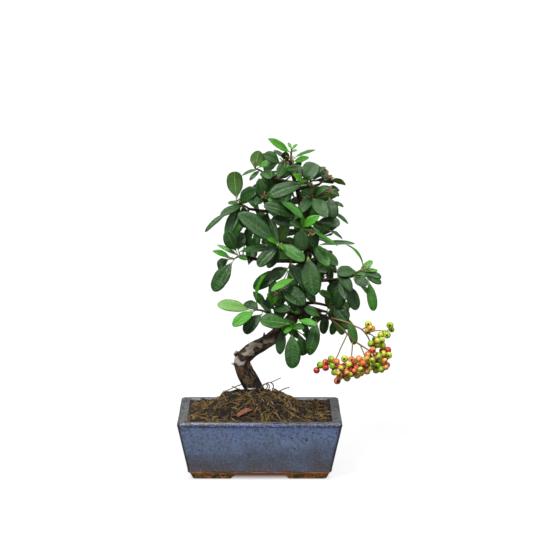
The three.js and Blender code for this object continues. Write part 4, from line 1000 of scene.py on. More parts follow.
def stems(node, geometry, bark):
    """Parts the leaf points off and grows tubes along the edges that are left: the points, the tubes."""
    parted = node("SeparateGeometry", geometry, Selection=node("InputNamedAttribute BOOLEAN", "is_leaf"))
    lines = node("MeshToCurve", parted["Inverted"])
    ring = node("CurvePrimitiveCircle", Resolution=7, Radius=1)
    thickness = node("InputNamedAttribute FLOAT", "thickness")
    tubes = node("CurveToMesh", lines, Profile_Curve=ring, Scale=thickness, Fill_Caps=True)
    tubes = node("SetShadeSmooth", tubes)
    return parted["Selection"], node("SetMaterial", tubes, Material=bark)


def spray_tree(leaf_skin, twig_bark):
    """Grows twigs, and a bent, folded, two-sided blade on every leaf point."""
    tree, node, given = new_group(
        "Leafy spray", lanes="Int", rows="Int", blade_thickness="Float", stalk_width="Float", waves="Float",
        ripple="Float",
    )
    named = {}
    for key in (
        "heading", "upward", "side", "bend_radius", "half_width", "arch", "fold", "taper", "seed", "sickle",
        "axis",
    ):
        kind = "FLOAT_VECTOR" if Growth.VALUES[key] is UP else "FLOAT"
        named[key] = node("InputNamedAttribute " + kind, key)
    points, twigs = stems(node, given["Geometry"], twig_bark)
    # The flat two-sided template: lane runs from -1 to 1 across and from 0 to 1 along
    grid = node("MeshGrid", Size_X=2, Size_Y=1, Vertices_X=given["Lanes"], Vertices_Y=given["Rows"])
    spot_on_grid = node("SeparateXYZ", node("InputPosition"))
    turn = node("Math MULTIPLY", node("Math ADD", spot_on_grid["Y"], 0.5), math.pi)
    along = node("Math MULTIPLY_ADD", node("Math COSINE", turn), -0.5, 0.5)
    lane = node("CombineXYZ", spot_on_grid["X"], along)
    grid = node("StoreNamedAttribute FLOAT_VECTOR", grid, Name="lane", Value=lane, domain="POINT")
    top = node("StoreNamedAttribute", grid, Name="skin", Value=1.0, domain="FACE")
    low = node("FlipFaces", grid)
    low = node("StoreNamedAttribute", low, Name="skin", Value=-1.0, domain="FACE")
    template = node("JoinGeometry", [top, low])
    blades = node("InstanceOnPoints", points, Instance=template)
    blades = node("RealizeInstances", blades)
    # Bend
    lane = node("InputNamedAttribute FLOAT_VECTOR", "lane")
    lane = node("SeparateXYZ", lane)
    across, along = (lane["X"], lane["Y"])
    aside = node("Math ABSOLUTE", across)
    rounded = node(
        "FloatCurve", Value=along,
        curve=(
            (0, 0.05), (0.06, 0.12), (0.13, 0.27), (0.22, 0.52), (0.35, 0.82), (0.5, 0.98), (0.64, 1),
            (0.78, 0.93), (0.89, 0.74), (0.96, 0.45), (1, 0),
        ),
    )
    pointed = node(
        "FloatCurve", Value=along,
        curve=(
            (0, 0.05), (0.07, 0.16), (0.16, 0.44), (0.3, 0.82), (0.44, 1), (0.6, 0.95), (0.76, 0.72),
            (0.9, 0.36), (0.97, 0.13), (1, 0),
        ),
    )
    outline = node("Mix", named["taper"], rounded, pointed)
    reach = node("Math MULTIPLY", outline, named["half_width"])
    stalk = node("Math MULTIPLY", given["Stalk width"], node("Math LESS_THAN", along, 0.5))
    reach = node("Math MAXIMUM", reach, node("Math MULTIPLY", stalk, 0.5))
    angle = node("Math MULTIPLY", named["arch"], along)
    forward = node(
        "VectorMath SCALE", named["heading"],
        node("Math MULTIPLY", named["bend_radius"], node("Math SINE", angle)),
    )
    droop = node(
        "VectorMath SCALE", named["upward"],
        node("Math MULTIPLY", named["bend_radius"], node("Math SUBTRACT", node("Math COSINE", angle), 1)),
    )
    normal = node(
        "VectorMath ADD", node("VectorMath SCALE", named["upward"], node("Math COSINE", angle)),
        node("VectorMath SCALE", named["heading"], node("Math SINE", angle)),
    )
    # Folded along the midrib, the halves arched, the margin rippled
    lift = node(
        "Math MULTIPLY", named["fold"],
        node(
            "Math MULTIPLY_ADD", node("Math MULTIPLY", aside, aside), -1.05, node("Math MULTIPLY", aside, 1.8)
        ),
    )
    phase = node("Math MULTIPLY_ADD", along, given["Waves"], node("Math MULTIPLY", named["seed"], 7))
    phase = node("Math MULTIPLY_ADD", across, 0.2, phase)
    ripple = node(
        "Math MULTIPLY", node("Math MULTIPLY", given["Ripple"], node("Math MULTIPLY", aside, aside)),
        node("Math SINE", node("Math MULTIPLY", phase, 2 * math.pi)),
    )
    lift = node("Math MULTIPLY", reach, node("Math ADD", lift, ripple))
    thick_share = node("MapRange", along, 0.05, 0.22)
    thick = node("Mix", thick_share, given["Stalk width"], given["Blade thickness"])
    skin = node("InputNamedAttribute FLOAT", "skin")
    lens = node("Math SUBTRACT", 1, node("Math MULTIPLY", aside, aside))
    ends = node(
        "Math MULTIPLY", node("Math MINIMUM", node("Math MULTIPLY", along, 60), 1),
        node("Math MINIMUM", node("Math MULTIPLY", node("Math SUBTRACT", 1, along), 60), 1),
    )
    lens = node(
        "Math MULTIPLY", node("Math MULTIPLY", lens, ends),
        node("Math MULTIPLY", node("Math MULTIPLY", thick, 0.5), skin),
    )
    offset = node("VectorMath SCALE", normal, node("Math ADD", lift, lens))
    aslant = node(
        "Math MULTIPLY_ADD", across, reach,
        node("Math MULTIPLY", named["sickle"], node("Math MULTIPLY", along, node("Math SUBTRACT", along, 1))),
    )
    place = node(
        "VectorMath ADD", node("VectorMath ADD", named["axis"], node("VectorMath ADD", forward, droop)),
        node("VectorMath ADD", node("VectorMath SCALE", named["side"], aslant), offset),
    )
    blades = node("SetPosition", blades, Position=place)
    blades = node("MergeByDistance", blades, Distance=2e-06)
    blades = node("SetShadeSmooth", blades)
    blades = node("SetMaterial", blades, Material=leaf_skin)
    node("GroupOutput", node("JoinGeometry", [twigs, blades]))
    return tree


def bunch_tree(stalk_bark):
    """Grows stalks, and sets the template object on every leaf point, along its axis."""
    tree, node, given = new_group("Fruiting bunch", template="Object")
    points, stalks = stems(node, given["Geometry"], stalk_bark)
    aimed = node("AlignRotationToVector", Vector=node("InputNamedAttribute FLOAT_VECTOR", "axis"), axis="Z")
    size = node("InputNamedAttribute FLOAT", "size")
    fruit = node("ObjectInfo", Object=given["Template"])["Geometry"]
    fruits = node("InstanceOnPoints", points, Instance=fruit, Rotation=aimed, Scale=size)
    fruits = node("RealizeInstances", fruits)
    node("GroupOutput", node("JoinGeometry", [stalks, fruits]))
    return tree


def strand_tree(fibre):
    """Scatters bent strands over the upward faces: moss, peat fibre or straw."""
    tree, node, given = new_group(
        "Loose strands", density="Float", length="Float", radius="Float", arch="Float", tilt="Float",
        stray="Float", stray_scale="Float", spread="Float", seed="Int", keep_in="Vector", middle="Vector",
    )
    up = node("SeparateXYZ", node("InputNormal"))["Z"]
    place = node("InputPosition")
    away = node("VectorMath SUBTRACT", place, given["Middle"])
    away = node("VectorMath ABSOLUTE", away)
    away = node("VectorMath SUBTRACT", given["Keep in"], away)
    away = node("SeparateXYZ", away)
    inside = node("Math MINIMUM", away["X"], away["Y"])
    chosen = node("Math GREATER_THAN", up, 0.3)
    chosen = node("Math MULTIPLY", chosen, node("Math GREATER_THAN", inside, 0))
    scattered = node(
        "DistributePointsOnFaces", given["Geometry"], Selection=chosen, Density=given["Density"],
        Seed=given["Seed"],
    )
    tone = node("RandomValue", Seed=3)
    points = node("StoreNamedAttribute", scattered["Points"], Name="tone", Value=tone)
    line = node("CurvePrimitiveLine", Start=(-0.5, 0, 0), End=(0.5, 0, 0))
    line = node("ResampleCurve", line, Count=6)
    share = node("SplineParameter")
    hump = node("Math MULTIPLY", share, node("Math SUBTRACT", 1, share))
    rise = node("Math MULTIPLY", hump, given["Arch"])
    line = node("SetPosition", line, Offset=node("CombineXYZ", Z=rise))
    ring = node("CurvePrimitiveCircle", Resolution=4, Radius=1)
    slim = node("Math DIVIDE", given["Radius"], given["Length"])
    slim = node("Math MULTIPLY", slim, node("MapRange", hump, 0, 0.12, 0.35, 1))
    strand = node("CurveToMesh", line, Profile_Curve=ring, Scale=slim, Fill_Caps=True)
    spin = node("RandomValue FLOAT_VECTOR", (-1, -1, -math.pi), (1, 1, math.pi), Seed=5)
    spin = node("VectorMath MULTIPLY", spin, node("CombineXYZ", given["Tilt"], given["Tilt"], 1))
    turned = node("RotateRotation", scattered["Rotation"], spin, rotation_space="LOCAL")
    size = node("RandomValue", node("Math SUBTRACT", 1, given["Spread"]), 1, Seed=9)
    size = node("Math MULTIPLY", size, given["Length"])
    strands = node("InstanceOnPoints", points, Instance=strand, Rotation=turned, Scale=size)
    strands = node("RealizeInstances", strands)
    drift = node("TexNoise", node("InputPosition"), Scale=given["Stray scale"], Detail=1)["Color"]
    drift = node("VectorMath SUBTRACT", drift, (0.5, 0.5, 0.5))
    drift = node("VectorMath SCALE", drift, given["Stray"])
    strands = node("SetPosition", strands, Offset=drift)
    strands = node("SetShadeSmooth", strands)
    strands = node("SetMaterial", strands, Material=fibre)
    node("GroupOutput", strands)
    return tree


# Pot


def unevenness(x, y, z):
    """How far the hand-finished wall stands out at a place, mm."""
    return 0.35 * noise.noise(Vector((x, y, z)) / 38) + 0.12 * noise.noise(Vector((x, y, z)) / 11)


def pot_ring(width, corner, z, walled, wave):
    """One ring of the pot's shell, a rectangle with rounded corners, counterclockwise.

    Its depth follows its width. Walled, it shows the wall's unevenness; wave lifts and lowers it.
    """
    depth = width - (POT_WIDTH - POT_DEPTH)
    arcs = []
    for quarter in range(4):
        middle = (quarter + 0.5) * math.pi / 2
        x = math.copysign(width / 2 - corner, math.cos(middle))
        y = math.copysign(depth / 2 - corner, math.sin(middle))
        angles = [(quarter + i / RING_ARC) * math.pi / 2 for i in range(RING_ARC + 1)]
        arcs.append([(x + corner * math.cos(angle), y + corner * math.sin(angle), angle) for angle in angles])
    places = []
    for quarter, arc in enumerate(arcs):
        (x, y, angle), (end_x, end_y, _) = arc[-1], arcs[(quarter + 1) % 4][0]
        steps = RING_STRAIGHT[quarter % 2]
        shares = [i / steps for i in range(1, steps)]
        places += [*arc, *[(mix(x, end_x, share), mix(y, end_y, share), angle) for share in shares]]
    ring = []
    for x, y, angle in places:
        out = unevenness(x, y, z) - 0.3 if walled else 0
        drop = wave * noise.noise(Vector((x, y, 7)) / GLAZE_WAVE)
        ring.append(Vector((x + out * math.cos(angle), y + out * math.sin(angle), z + drop)))
    return ring


def pot_body(bm):
    """Outer wall, rolled glaze edge, rim and inner wall in one closed shell.

    Each ring: width, corner radius, height, whether the wall's unevenness shows, and how far it waves.
    """
    outer = [
        (BASE_WIDTH - 2 * BASE_STEP, POT_CORNER - 1.5, FOOT_HEIGHT, False, 0),
        (BASE_WIDTH - 1.4, POT_CORNER - 1.2, GLAZE_EDGE - 1, False, 0.8),
        (BASE_WIDTH - 0.8, POT_CORNER - 1, GLAZE_EDGE - 0.35, False, 1.1),
        (BASE_WIDTH - 0.1, POT_CORNER - 1, GLAZE_EDGE - 0.2, True, 1.1),
        (BASE_WIDTH + 0.7, POT_CORNER - 1, GLAZE_EDGE + 0.4, True, 1.1),
        (BASE_WIDTH + 0.9, POT_CORNER - 1, GLAZE_EDGE + 1.2, True, 1),
    ]
    wall_low, wall_high = GLAZE_EDGE + 3, POT_HEIGHT - 2 * RIM_ROUND
    for i in range(WALL_STEPS + 1):
        z = mix(wall_low, wall_high, i / WALL_STEPS)
        share = (z - GLAZE_EDGE) / (wall_high - GLAZE_EDGE)
        outer.append((mix(BASE_WIDTH, POT_WIDTH - 1, share), POT_CORNER, z, True, 0))
    outer.append((POT_WIDTH - 0.1, POT_CORNER, POT_HEIGHT - 1.5 * RIM_ROUND, True, 0))
    for i in range(RIM_STEPS + 1):
        angle = math.pi / 2 * i / RIM_STEPS
        inset = RIM_ROUND * (1 - math.cos(angle))
        z = POT_HEIGHT - RIM_ROUND * (1 - math.sin(angle))
        outer.append((POT_WIDTH - 2 * inset, POT_CORNER - inset * 0.4, z, True, 0))
    inner_width = POT_WIDTH - 2 * RIM_WIDTH
    inner = [
        (inner_width + 8, 3.6, POT_HEIGHT - 0.05, False, 0),
        (inner_width + 2, 3, POT_HEIGHT - 0.15, False, 0),
        (inner_width + 0.4, 3, POT_HEIGHT - 0.6, False, 0),
        (inner_width - 0.5, 3, POT_HEIGHT - 1.8, False, 0),
        (mix(BASE_WIDTH - 2 * WALL, inner_width, 0.5), 3, (FLOOR_TOP + POT_HEIGHT) / 2, False, 0),
        (BASE_WIDTH - 2 * WALL, 3, FLOOR_TOP, False, 0),
    ]
    loft(bm, [[placed(v) for v in pot_ring(*ring)] for ring in [*outer, *inner]])


def foot_outline(outset, sign_x, sign_y, z):
    """The L of one corner foot at height z, counterclockwise, narrower toward the ground."""
    lean = FOOT_LEAN * (1 - z / FOOT_HEIGHT)
    half_x = (BASE_WIDTH - 2 * BASE_STEP) / 2 - lean + outset
    half_y = half_x - (POT_WIDTH - POT_DEPTH) / 2
    inner_x = (BASE_WIDTH - 2 * BASE_STEP) / 2 - FOOT_WIDTH - outset
    inner_y = inner_x - (POT_WIDTH - POT_DEPTH) / 2
    gap_x = FRONT_OPENING / 2 - z - outset + 0.1
    gap_y = SIDE_OPENING / 2 - z - outset + 0.1
    turns = [math.pi / 2 * i / FOOT_CORNER_STEPS for i in range(FOOT_CORNER_STEPS + 1)]

    def rounded(x, y, corner, angles):
        return [(x - corner + corner * math.cos(a), y - corner + corner * math.sin(a)) for a in angles]

    points = [
        (gap_x, half_y), *rounded(half_x, half_y, POT_CORNER - 1.5, turns[::-1]), (half_x, gap_y),
        (inner_x, gap_y), *rounded(inner_x, inner_y, FOOT_CORNER, turns), (gap_x, inner_y),
    ]
    ring = [Vector((sign_x * x, sign_y * y, z)) for x, y in points]
    # The list above runs clockwise in the quarter where both signs are positive
    return ring[::-1] if sign_x * sign_y > 0 else ring


def build_pot(settings):
    bm = bmesh.new()
    pot_body(bm)
    body = from_bmesh("pot_stoneware", bm)
    for sign in (-1, 1):
        bm = bmesh.new()
        bmesh.ops.create_cone(
            bm, cap_ends=True, segments=40, radius1=DRAIN_RADIUS * MM, radius2=DRAIN_RADIUS * MM,
            depth=DRILL_DEPTH * MM,
        )
        middle = Vector((sign * DRAIN_X, 0, (FOOT_HEIGHT + FLOOR_TOP) / 2))
        bmesh.ops.translate(bm, verts=bm.verts, vec=placed(middle))
        drill = from_bmesh("drill", bm)
        cut = body.modifiers.new("drain", "BOOLEAN")
        cut.object, cut.operation, cut.solver = drill, "DIFFERENCE", "EXACT"
        settled(body)
        bpy.data.objects.remove(drill)
    bm = bmesh.new()
    bm.from_mesh(body.data)
    # How far out each level of a foot stands, and its height
    levels = ((-0.7, 0), (-0.2, 0.25), (0, 0.8), (0, 3.5), (0, FOOT_HEIGHT), (0, FOOT_HEIGHT + 0.6))
    for sign_x in (-1, 1):
        for sign_y in (-1, 1):
            loft(bm, [[placed(v) for v in foot_outline(outset, sign_x, sign_y, z)] for outset, z in levels])
    bmesh.ops.triangulate(bm, faces=[f for f in bm.faces if len(f.verts) > 4])
    mesh = body.data
    bm.to_mesh(mesh)
    bm.free()
    glazed = mesh.attributes.new("glazed", "FLOAT", "POINT").data
    for vertex, value in zip(mesh.vertices, glazed):
        x, y, z = (vertex.co - POT_MIDDLE) / MM
        inward = min((POT_WIDTH - WALL) / 2 - abs(x), (POT_DEPTH - WALL) / 2 - abs(y))
        edge = GLAZE_EDGE - 0.27 + 1.1 * noise.noise(Vector((x, y, 7)) / GLAZE_WAVE)
        value.value = float(z > edge and (z > POT_HEIGHT - 5 or inward < (POT_HEIGHT - z) * 0.21))
    mesh.polygons.foreach_set("use_smooth", [True] * len(mesh.polygons))
    mesh.set_sharp_from_angle(angle=math.radians(38))
    mesh.materials.clear()
    mesh.materials.append(stoneware_material(settings))
    finish_piece(body, "glazed_stoneware", "pot")


# Soil


def soil_height(x, y):
    """Height of the soil, mm: a flat shoulder inside the rim, a mound around the trunk, and bumps."""
    away = math.hypot((x - MOUND_MIDDLE[0]) / MOUND_REACH[0], (y - MOUND_MIDDLE[1]) / MOUND_REACH[1])
    bumps = math.sin(0.31 * x + 1) * math.sin(0.27 * y + 2) + 0.6 * math.sin(0.13 * x - 0.19 * y)
    inward = min(POT_DEPTH / 2 - RIM_WIDTH - abs(y), POT_WIDTH / 2 - RIM_WIDTH - abs(x))
    mound = MOUND_RISE * math.exp(-(away**MOUND_SHOULDER))
    return SOIL_EDGE + smoothstep(0, SOIL_SLOPE, inward) * (mound + SOIL_BUMP * bumps)


def build_soil(settings):
    half_x = POT_WIDTH / 2 - RIM_WIDTH - 0.6
    half_y = POT_DEPTH / 2 - RIM_WIDTH - 0.6
    columns, rows = 132, 90
    bm = bmesh.new()
    grid = []
    for j in range(rows + 1):
        line = []
        for i in range(columns + 1):
            x, y = mix(-half_x, half_x, i / columns), mix(-half_y, half_y, j / rows)
            inward = smoothstep(0, 5, min(half_x - abs(x), half_y - abs(y)))
            place = Vector((x, y, 3))
            crumbs = 0.0
            for height, breadth in CRUMBS:
                crumbs += height * noise.noise(place / breadth)
            line.append(bm.verts.new(placed(Vector((x, y, soil_height(x, y) - 1 + inward * (crumbs + 0.6))))))
        grid.append(line)
    for low, high in zip(grid, grid[1:]):
        for i in range(columns):
            bm.faces.new((low[i], low[i + 1], high[i + 1], high[i]))
    # The root ball follows the pot's inner wall down to the floor
    right, left = [line[-1] for line in grid[1:]], [line[0] for line in grid[-2:0:-1]]
    edge = [*grid[0], *right, *grid[-1][-2::-1], *left]
    inset = half_x - (BASE_WIDTH - 2 * WALL - 1.4) / 2
    floor = []
    for vertex in edge:
        x, y, _ = (vertex.co - POT_MIDDLE) / MM
        near = Vector((x * (half_x - inset) / half_x, y * (half_y - inset) / half_y, FLOOR_TOP + 1.6))
        floor.append(bm.verts.new(placed(near)))
    for i in range(len(edge)):
        j = (i + 1) % len(edge)
        bm.faces.new((edge[i], floor[i], floor[j], edge[j]))
    bm.faces.new(floor[::-1])
    bmesh.ops.recalc_face_normals(bm, faces=bm.faces)
    bmesh.ops.triangulate(bm, faces=[f for f in bm.faces if len(f.verts) > 4])
    # Peat and loam, damp: brown on the crumbs, and nearly black between them as painted shade in the gaps
    stops = ((0.35, "#050302"), (0.5, settings.peat), (0.64, "#20140a"), (0.78, "#3a2811"))
    soil = from_bmesh("soil_peat", bm, mottled_material("damp peat", 0.95, 260, stops, 1.5), outward=False)
    # Dried sphagnum and peat fibre, and straw bleached by the sun: matt strands, some dark and some pale
    families = (
        (
            "moss_fibres", "dried moss fibre",
            ((0.1, "#060301"), (0.36, "#22160a"), (0.54, "#523c1e"), (0.76, "#6b5626"), (1, "#a5834c")),
            dict(density=120000.0, length=0.012, radius=0.0006, arch=0.5, tilt=0.3, stray=0.006,
                 stray_scale=110.0, spread=0.6, seed=4),
        ),
        (
            "straw_fibres", "bleached straw", ((0.2, "#5a4626"), (0.6, "#86703f"), (1, "#b59b68")),
            dict(density=7000.0, length=0.015, radius=0.0004, arch=0.4, tilt=0.26, stray=0.008,
                 stray_scale=60.0, spread=0.6, seed=11),
        ),
    )
    for name, finish, stops, values in families:
        fibre = mottled_material(finish, 0.9, 700, stops, 0.3, "tone", 0.7)
        strands = new_object(name, soil.data.copy())
        room = Vector((half_x - 1.5, half_y - 1.5, 1000)) * MM
        grow(strands, strand_tree(fibre), keep_in=room, middle=POT_MIDDLE, **values)
        finish_piece(strands, "soil")
    finish_piece(soil, "soil", "soil")


# Wood


def bark_swell(angle, t):
    """Share of its radius that the trunk has at an angle around it and a share of the way up."""
    foot = min(max(1 - t / ROOT_SHARE, 0), 1)
    ridges = 0.07 * math.sin(3 * angle + 9 * t) + 0.05 * math.sin(5 * angle - 14 * t)
    ridges += 0.03 * math.sin(40 * t)
    return 1 + ridges + 0.16 * foot * math.cos(4 * angle + 0.6)


def wood_lines():
    """Every stem of the wood: its path, its radii, its sides, and what it is."""
    grown = [(TRUNK, 40, "trunk"), *((stations, 16, "branch") for stations in BRANCHES)]
    lines = []
    for stations, sides, kind in grown:
        path = smooth_path([spot(*station[:3]) for station in stations], WOOD_STEPS)
        lines.append((path, along_values([station[3] for station in stations], WOOD_STEPS), sides, kind))
    for root, tip, wide, narrow in STUBS:
        a, b = spot(*root), spot(*tip)
        shares = [k / 4 for k in range(5)]
        path, radii = [a.lerp(b, share) for share in shares], [mix(wide, narrow, share) for share in shares]
        lines.append((path, radii, 20, "stub"))
    return lines


def build_trunk(settings):
    bm = bmesh.new()
    stations = []
    for path, radii, sides, kind in wood_lines():
        swell, dome = {"trunk": (bark_swell, 0), "branch": (None, 0), "stub": (None, 0.35)}[kind]
        tube(bm, path, radii, sides, swell, dome)
        walked = 0
        for i, (place, radius, frame_here) in enumerate(zip(path, radii, transported(path))):
            walked += (place - path[i - 1]).length if i else 0
            stations.append((place, radius, frame_here, walked, kind))
    wood = from_bmesh("trunk_bark", bm)
    remesh = wood.modifiers.new("one skin", "REMESH")
    remesh.mode, remesh.voxel_size, remesh.use_smooth_shade = "VOXEL", settings.grain * MM, True
    settled(wood)
    tree = KDTree(len(stations))
    for i, (place, *_) in enumerate(stations):
        tree.insert(place, i)
    tree.balance()
    mesh = wood.data
    keys = ("relief", "weathered", "young")
    layers = {key: mesh.attributes.new(key, "FLOAT", "POINT").data for key in keys}
    normals = [v.normal.copy() for v in mesh.vertices]
    for i, vertex in enumerate(mesh.vertices):
        place = (vertex.co - POT_MIDDLE) / MM
        _, index, _ = tree.find(place)
        centre, radius, (along, side, other), walked, kind = stations[index]
        offset = place - centre
        run = walked + offset.dot(along)
        local = Vector((offset.dot(side), offset.dot(other), run * 0.22))
        cracks = abs(noise.noise(local / 2.3)) + 0.5 * abs(noise.noise(local / 1.1 + Vector((7, 3, 1))))
        plates = noise.noise(Vector((local.x, local.y, run * 0.6)) / 6.5)
        ridge = min(cracks * 3, 1)
        relief = 0.62 * ridge + 0.3 * (plates + 0.5)
        depth = settings.relief * min(radius / 7, 1)
        vertex.co += normals[i] * MM * depth * (relief - 0.6)
        layers["relief"][i].value = relief
        facing = normals[i].z * 0.6 - normals[i].y * 0.3 + 0.9 * noise.noise(place / 6.5 + Vector((2, 5, 0)))
        # The trunk's lower bend is the most weathered, and its upper, forward side carries a painted
        # highlight in pale grey
        bend = smoothstep(112, 121, place.z) * (1 - smoothstep(141, 150, place.z))
        bend *= 1 - smoothstep(8, 22, place.x)
        layers["weathered"][i].value = min(max(bend * smoothstep(0.28, 0.5, facing), 0), 1) * 0.95
        layers["young"][i].value = 0.0 if kind != "branch" else smoothstep(3.2, 1.4, -radius + 4.6) * 0.5
    mesh.materials.clear()
    mesh.materials.append(bark_material(settings))
    finish_piece(wood, "bark", "trunk")


def build_wire():
    left, right = (
        [Vector((mix(WIRE_TOP_X, hole_x, share), y, z)) for share, y, z in WIRE_WAY]
        for hole_x in (-DRAIN_X, DRAIN_X)
    )
    path = smooth_path([*left[:0:-1], *right], 5)
    bm = bmesh.new()
    tube(bm, path, [WIRE_RADIUS] * len(path), 12)
    # Annealed aluminium wire, dulled by watering: a soft grey metal with white bloom
    stops = ((0.3, "#7d8084"), (0.55, "#a9abad"), (0.75, "#c4c5c4"))
    metal = mottled_material("dulled aluminium", 0.5, 800, stops, 0.1, Metallic=0.6)
    finish_piece(from_bmesh("anchor_wire_aluminium", bm, metal), "wire", "anchor_wire")


def build_chip():
    """A curled flake of dead bark, ragged at its ends."""
    length, width, thick = CHIP_SIZE
    columns, rows = 26, 12
    turn = Matrix()
    for angle, axis in ((CHIP_TILT, "X"), (CHIP_LIFT, "Y"), (CHIP_TURN, "Z")):
        turn = turn @ Matrix.Rotation(angle, 4, axis)
    middle = Vector((*CHIP_PLACE, soil_height(*CHIP_PLACE) + CHIP_RISE))
    bm = bmesh.new()
    layers = []
    for skin in (1, -1):
        sheet = []
        for j in range(rows + 1):
            line = []
            for i in range(columns + 1):
                u, v = i / columns * 2 - 1, j / rows * 2 - 1
                rim = min(1, (1 - abs(u)) * 9, (1 - abs(v)) * 5)
                ragged = 1 - 0.12 * abs(noise.noise(Vector((3, v * 2.5, 1)))) * (u * u)
                x = u * length / 2 * ragged
                y = v * width / 2 * (1 - 0.25 * u * u + 0.08 * noise.noise(Vector((u * 3, 0, 5))))
                rough = 0.25 * noise.noise(Vector((x, y * 3, skin * 4)) / 3)
                z = -0.012 * (x * x - 4 * y * y) + skin * thick / 2 * rim + rough * rim
                line.append(bm.verts.new(placed(turn @ Vector((x + 0.12 * y, y, z)) + middle)))
            sheet.append(line)
        layers.append(sheet)
    for skin, sheet in enumerate(layers):
        for low, high in zip(sheet, sheet[1:]):
            for i in range(columns):
                corners = (low[i], low[i + 1], high[i + 1], high[i])
                bm.faces.new(corners if skin == 0 else corners[::-1])
    bmesh.ops.remove_doubles(bm, verts=bm.verts, dist=1e-6)
    # Dead outer bark, dried: red-brown cork with paler worn fibres
    cork = mottled_material(
        "dry red bark", 0.85, 420, ((0.3, "#4a2a1c"), (0.5, "#70432e"), (0.7, "#96684c")), 0.5
    )
    finish_piece(from_bmesh("bark_chip_dry", bm, cork), "dry_bark", "bark_chip")


def build_screens():
    # Injection moulded polyethylene mesh: dull dark grey, scuffed by grit
    stops = ((0.35, "#1b1f24"), (0.6, "#2a2f36"), (0.8, "#4a4f55"))
    plastic = mottled_material("moulded mesh plastic", 0.55, 500, stops, 0.15)
    for name in ("drain_screen_left", "drain_screen_right"):
        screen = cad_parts[name]
        for slot in screen.material_slots:
            slot.material = plastic


# Leaves


def face_of(chord, outward):
    """Where the upper side of a leaf faces: to its side of the tree and to the sky."""
    face = outward * 0.8 + UP * 0.6
    return (face - chord * face.dot(chord)).normalized()


def leaf_frame(leaf):
    """The arc of a leaf: where it starts, heads and faces, and its radius, mm."""
    chord = leaf["tip"] - leaf["base"]
    length = chord.length
    chord.normalize()
    hinge = chord * (1 if chord.x < 0 else -1)
    face = Quaternion(hinge, math.radians(leaf["lean"])) @ face_of(chord, leaf["outward"])
    half = leaf["arch"] / 2
    return {
        "heading": chord * math.cos(half) + face * math.sin(half),
        "upward": face * math.cos(half) - chord * math.sin(half),
        "side": chord.cross(face),
        "bend_radius": length * half / math.sin(half) / leaf["arch"],
        "length": length,
    }


def kind_of(leaf):
    if leaf["width"] < 6:
        return "tiny"
    return "small" if leaf["outward"] is FAR_SIDE or leaf["width"] < 12 else "large"


def variants(leaf):
    """The leaf and the ways that the solids may have moved it to make room."""
    for shift in SHIFTS:
        for turn in LEANS:
            if "place" in leaf:
                across, up, behind = leaf["place"]
                tip = spot(across, up, behind + shift)
            else:
                tip = leaf["tip"] + Vector((0, shift, 0))
            yield {**leaf, "tip": tip, "lean": leaf["lean"] + turn}


def misfit(leaf, surface):
    """How far the blade is from lying in the middle of the solid's blade, mm."""
    arc = leaf_frame(leaf)
    kind = kind_of(leaf)
    folded = kind == "large" and leaf["width"] >= 15
    worst = 0
    for share in BLADE_STATIONS[kind]:
        turn = leaf["arch"] * share
        centre = leaf["base"] + arc["heading"] * (arc["bend_radius"] * math.sin(turn))
        centre = centre + arc["upward"] * (arc["bend_radius"] * (math.cos(turn) - 1))
        normal = arc["upward"] * math.cos(turn) + arc["heading"] * math.sin(turn)
        reach = leaf["width"] * STATION_WIDTHS[share] / 2
        for lane in (-0.8, 0, 0.8):
            lift = abs(lane) * reach * FOLD if folded else 0
            place = centre + arc["side"] * (lane * reach) + normal * lift
            worst = max(worst, abs(surface.find_nearest(place)[3] - BLADE_HALF))
            if worst > FIT_TOLERANCE:
                return worst
    return worst


def as_in_solid(leaf, surface):
    """The variant that the solid's spray holds, or None where it dropped the leaf."""
    for candidate in variants(leaf):
        if misfit(candidate, surface) <= FIT_TOLERANCE:
            return candidate
    return None


def surface_of(node):
    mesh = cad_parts[node].data
    places = [(v.co - POT_MIDDLE) / MM for v in mesh.vertices]
    return BVHTree.FromPolygons(places, [tuple(p.vertices) for p in mesh.polygons])


def twig_point(root, tip, t):
    """A place along a twig, which bows upward between its ends."""
    point = root.lerp(tip, t)
    point.z += 0.12 * (root - tip).length * 4 * t * (1 - t)
    return point


def nearest_on_twig(root, tip, place):
    tries = [twig_point(root, tip, t) for t in (0.3, 0.4, 0.5, 0.6, 0.7, 0.8, 0.9, 0.97)]
    return min(tries, key=lambda point: (point - place).length)


def front_leaves(root_place, tip_place, leaves):
    root, tip = spot(*root_place), spot(*tip_place)
    for i, (across, up, behind, width, age, *rest) in enumerate(leaves):
        lean = rest[0] if rest else 0
        base = spot(*rest[1]) if len(rest) > 1 else None
        yield {
            "place": (across, up, behind),
            "tip": spot(across, up, behind),
            "base": base or twig_point(root, tip, 0.96 - 0.7 * i / len(leaves)),
            "stalk": nearest_on_twig(root, tip, base) if base else None,
            "width": width,
            "lean": lean,
            "arch": rest[2] if len(rest) > 2 else ARCH,
            "outward": VIEWER_SIDE,
            "age": age,
        }


def back_leaves(root_place, tip_place, count, seed):
    root, tip = spot(*root_place), spot(*tip_place)
    draw = draws(seed)
    axis = ((tip - root).normalized() + Vector((0, 0.5, 0))).normalized()
    sideways = axis.cross(UP).normalized()
    upward = sideways.cross(axis)
    for i in range(count):
        around = GOLDEN_ANGLE * i + mix(*BACK_TURN, draw())
        spread = mix(*BACK_SPREAD, draw())
        length = mix(*BACK_LENGTH, draw())
        base = twig_point(root, tip, 0.95 - 0.75 * i / count)
        heading = axis * math.cos(spread) + sideways * (math.sin(spread) * math.cos(around))
        heading = heading + upward * (math.sin(spread) * math.sin(around))
        width = length * mix(*BACK_WIDTH_SHARE, draw())
        lean = mix(*BACK_LEAN, draw())
        yield {
            "tip": base + heading * length, "base": base, "stalk": None, "width": width, "lean": lean,
            "arch": ARCH, "outward": FAR_SIDE, "age": BACK_AGES[(i + seed) % len(BACK_AGES)],
        }


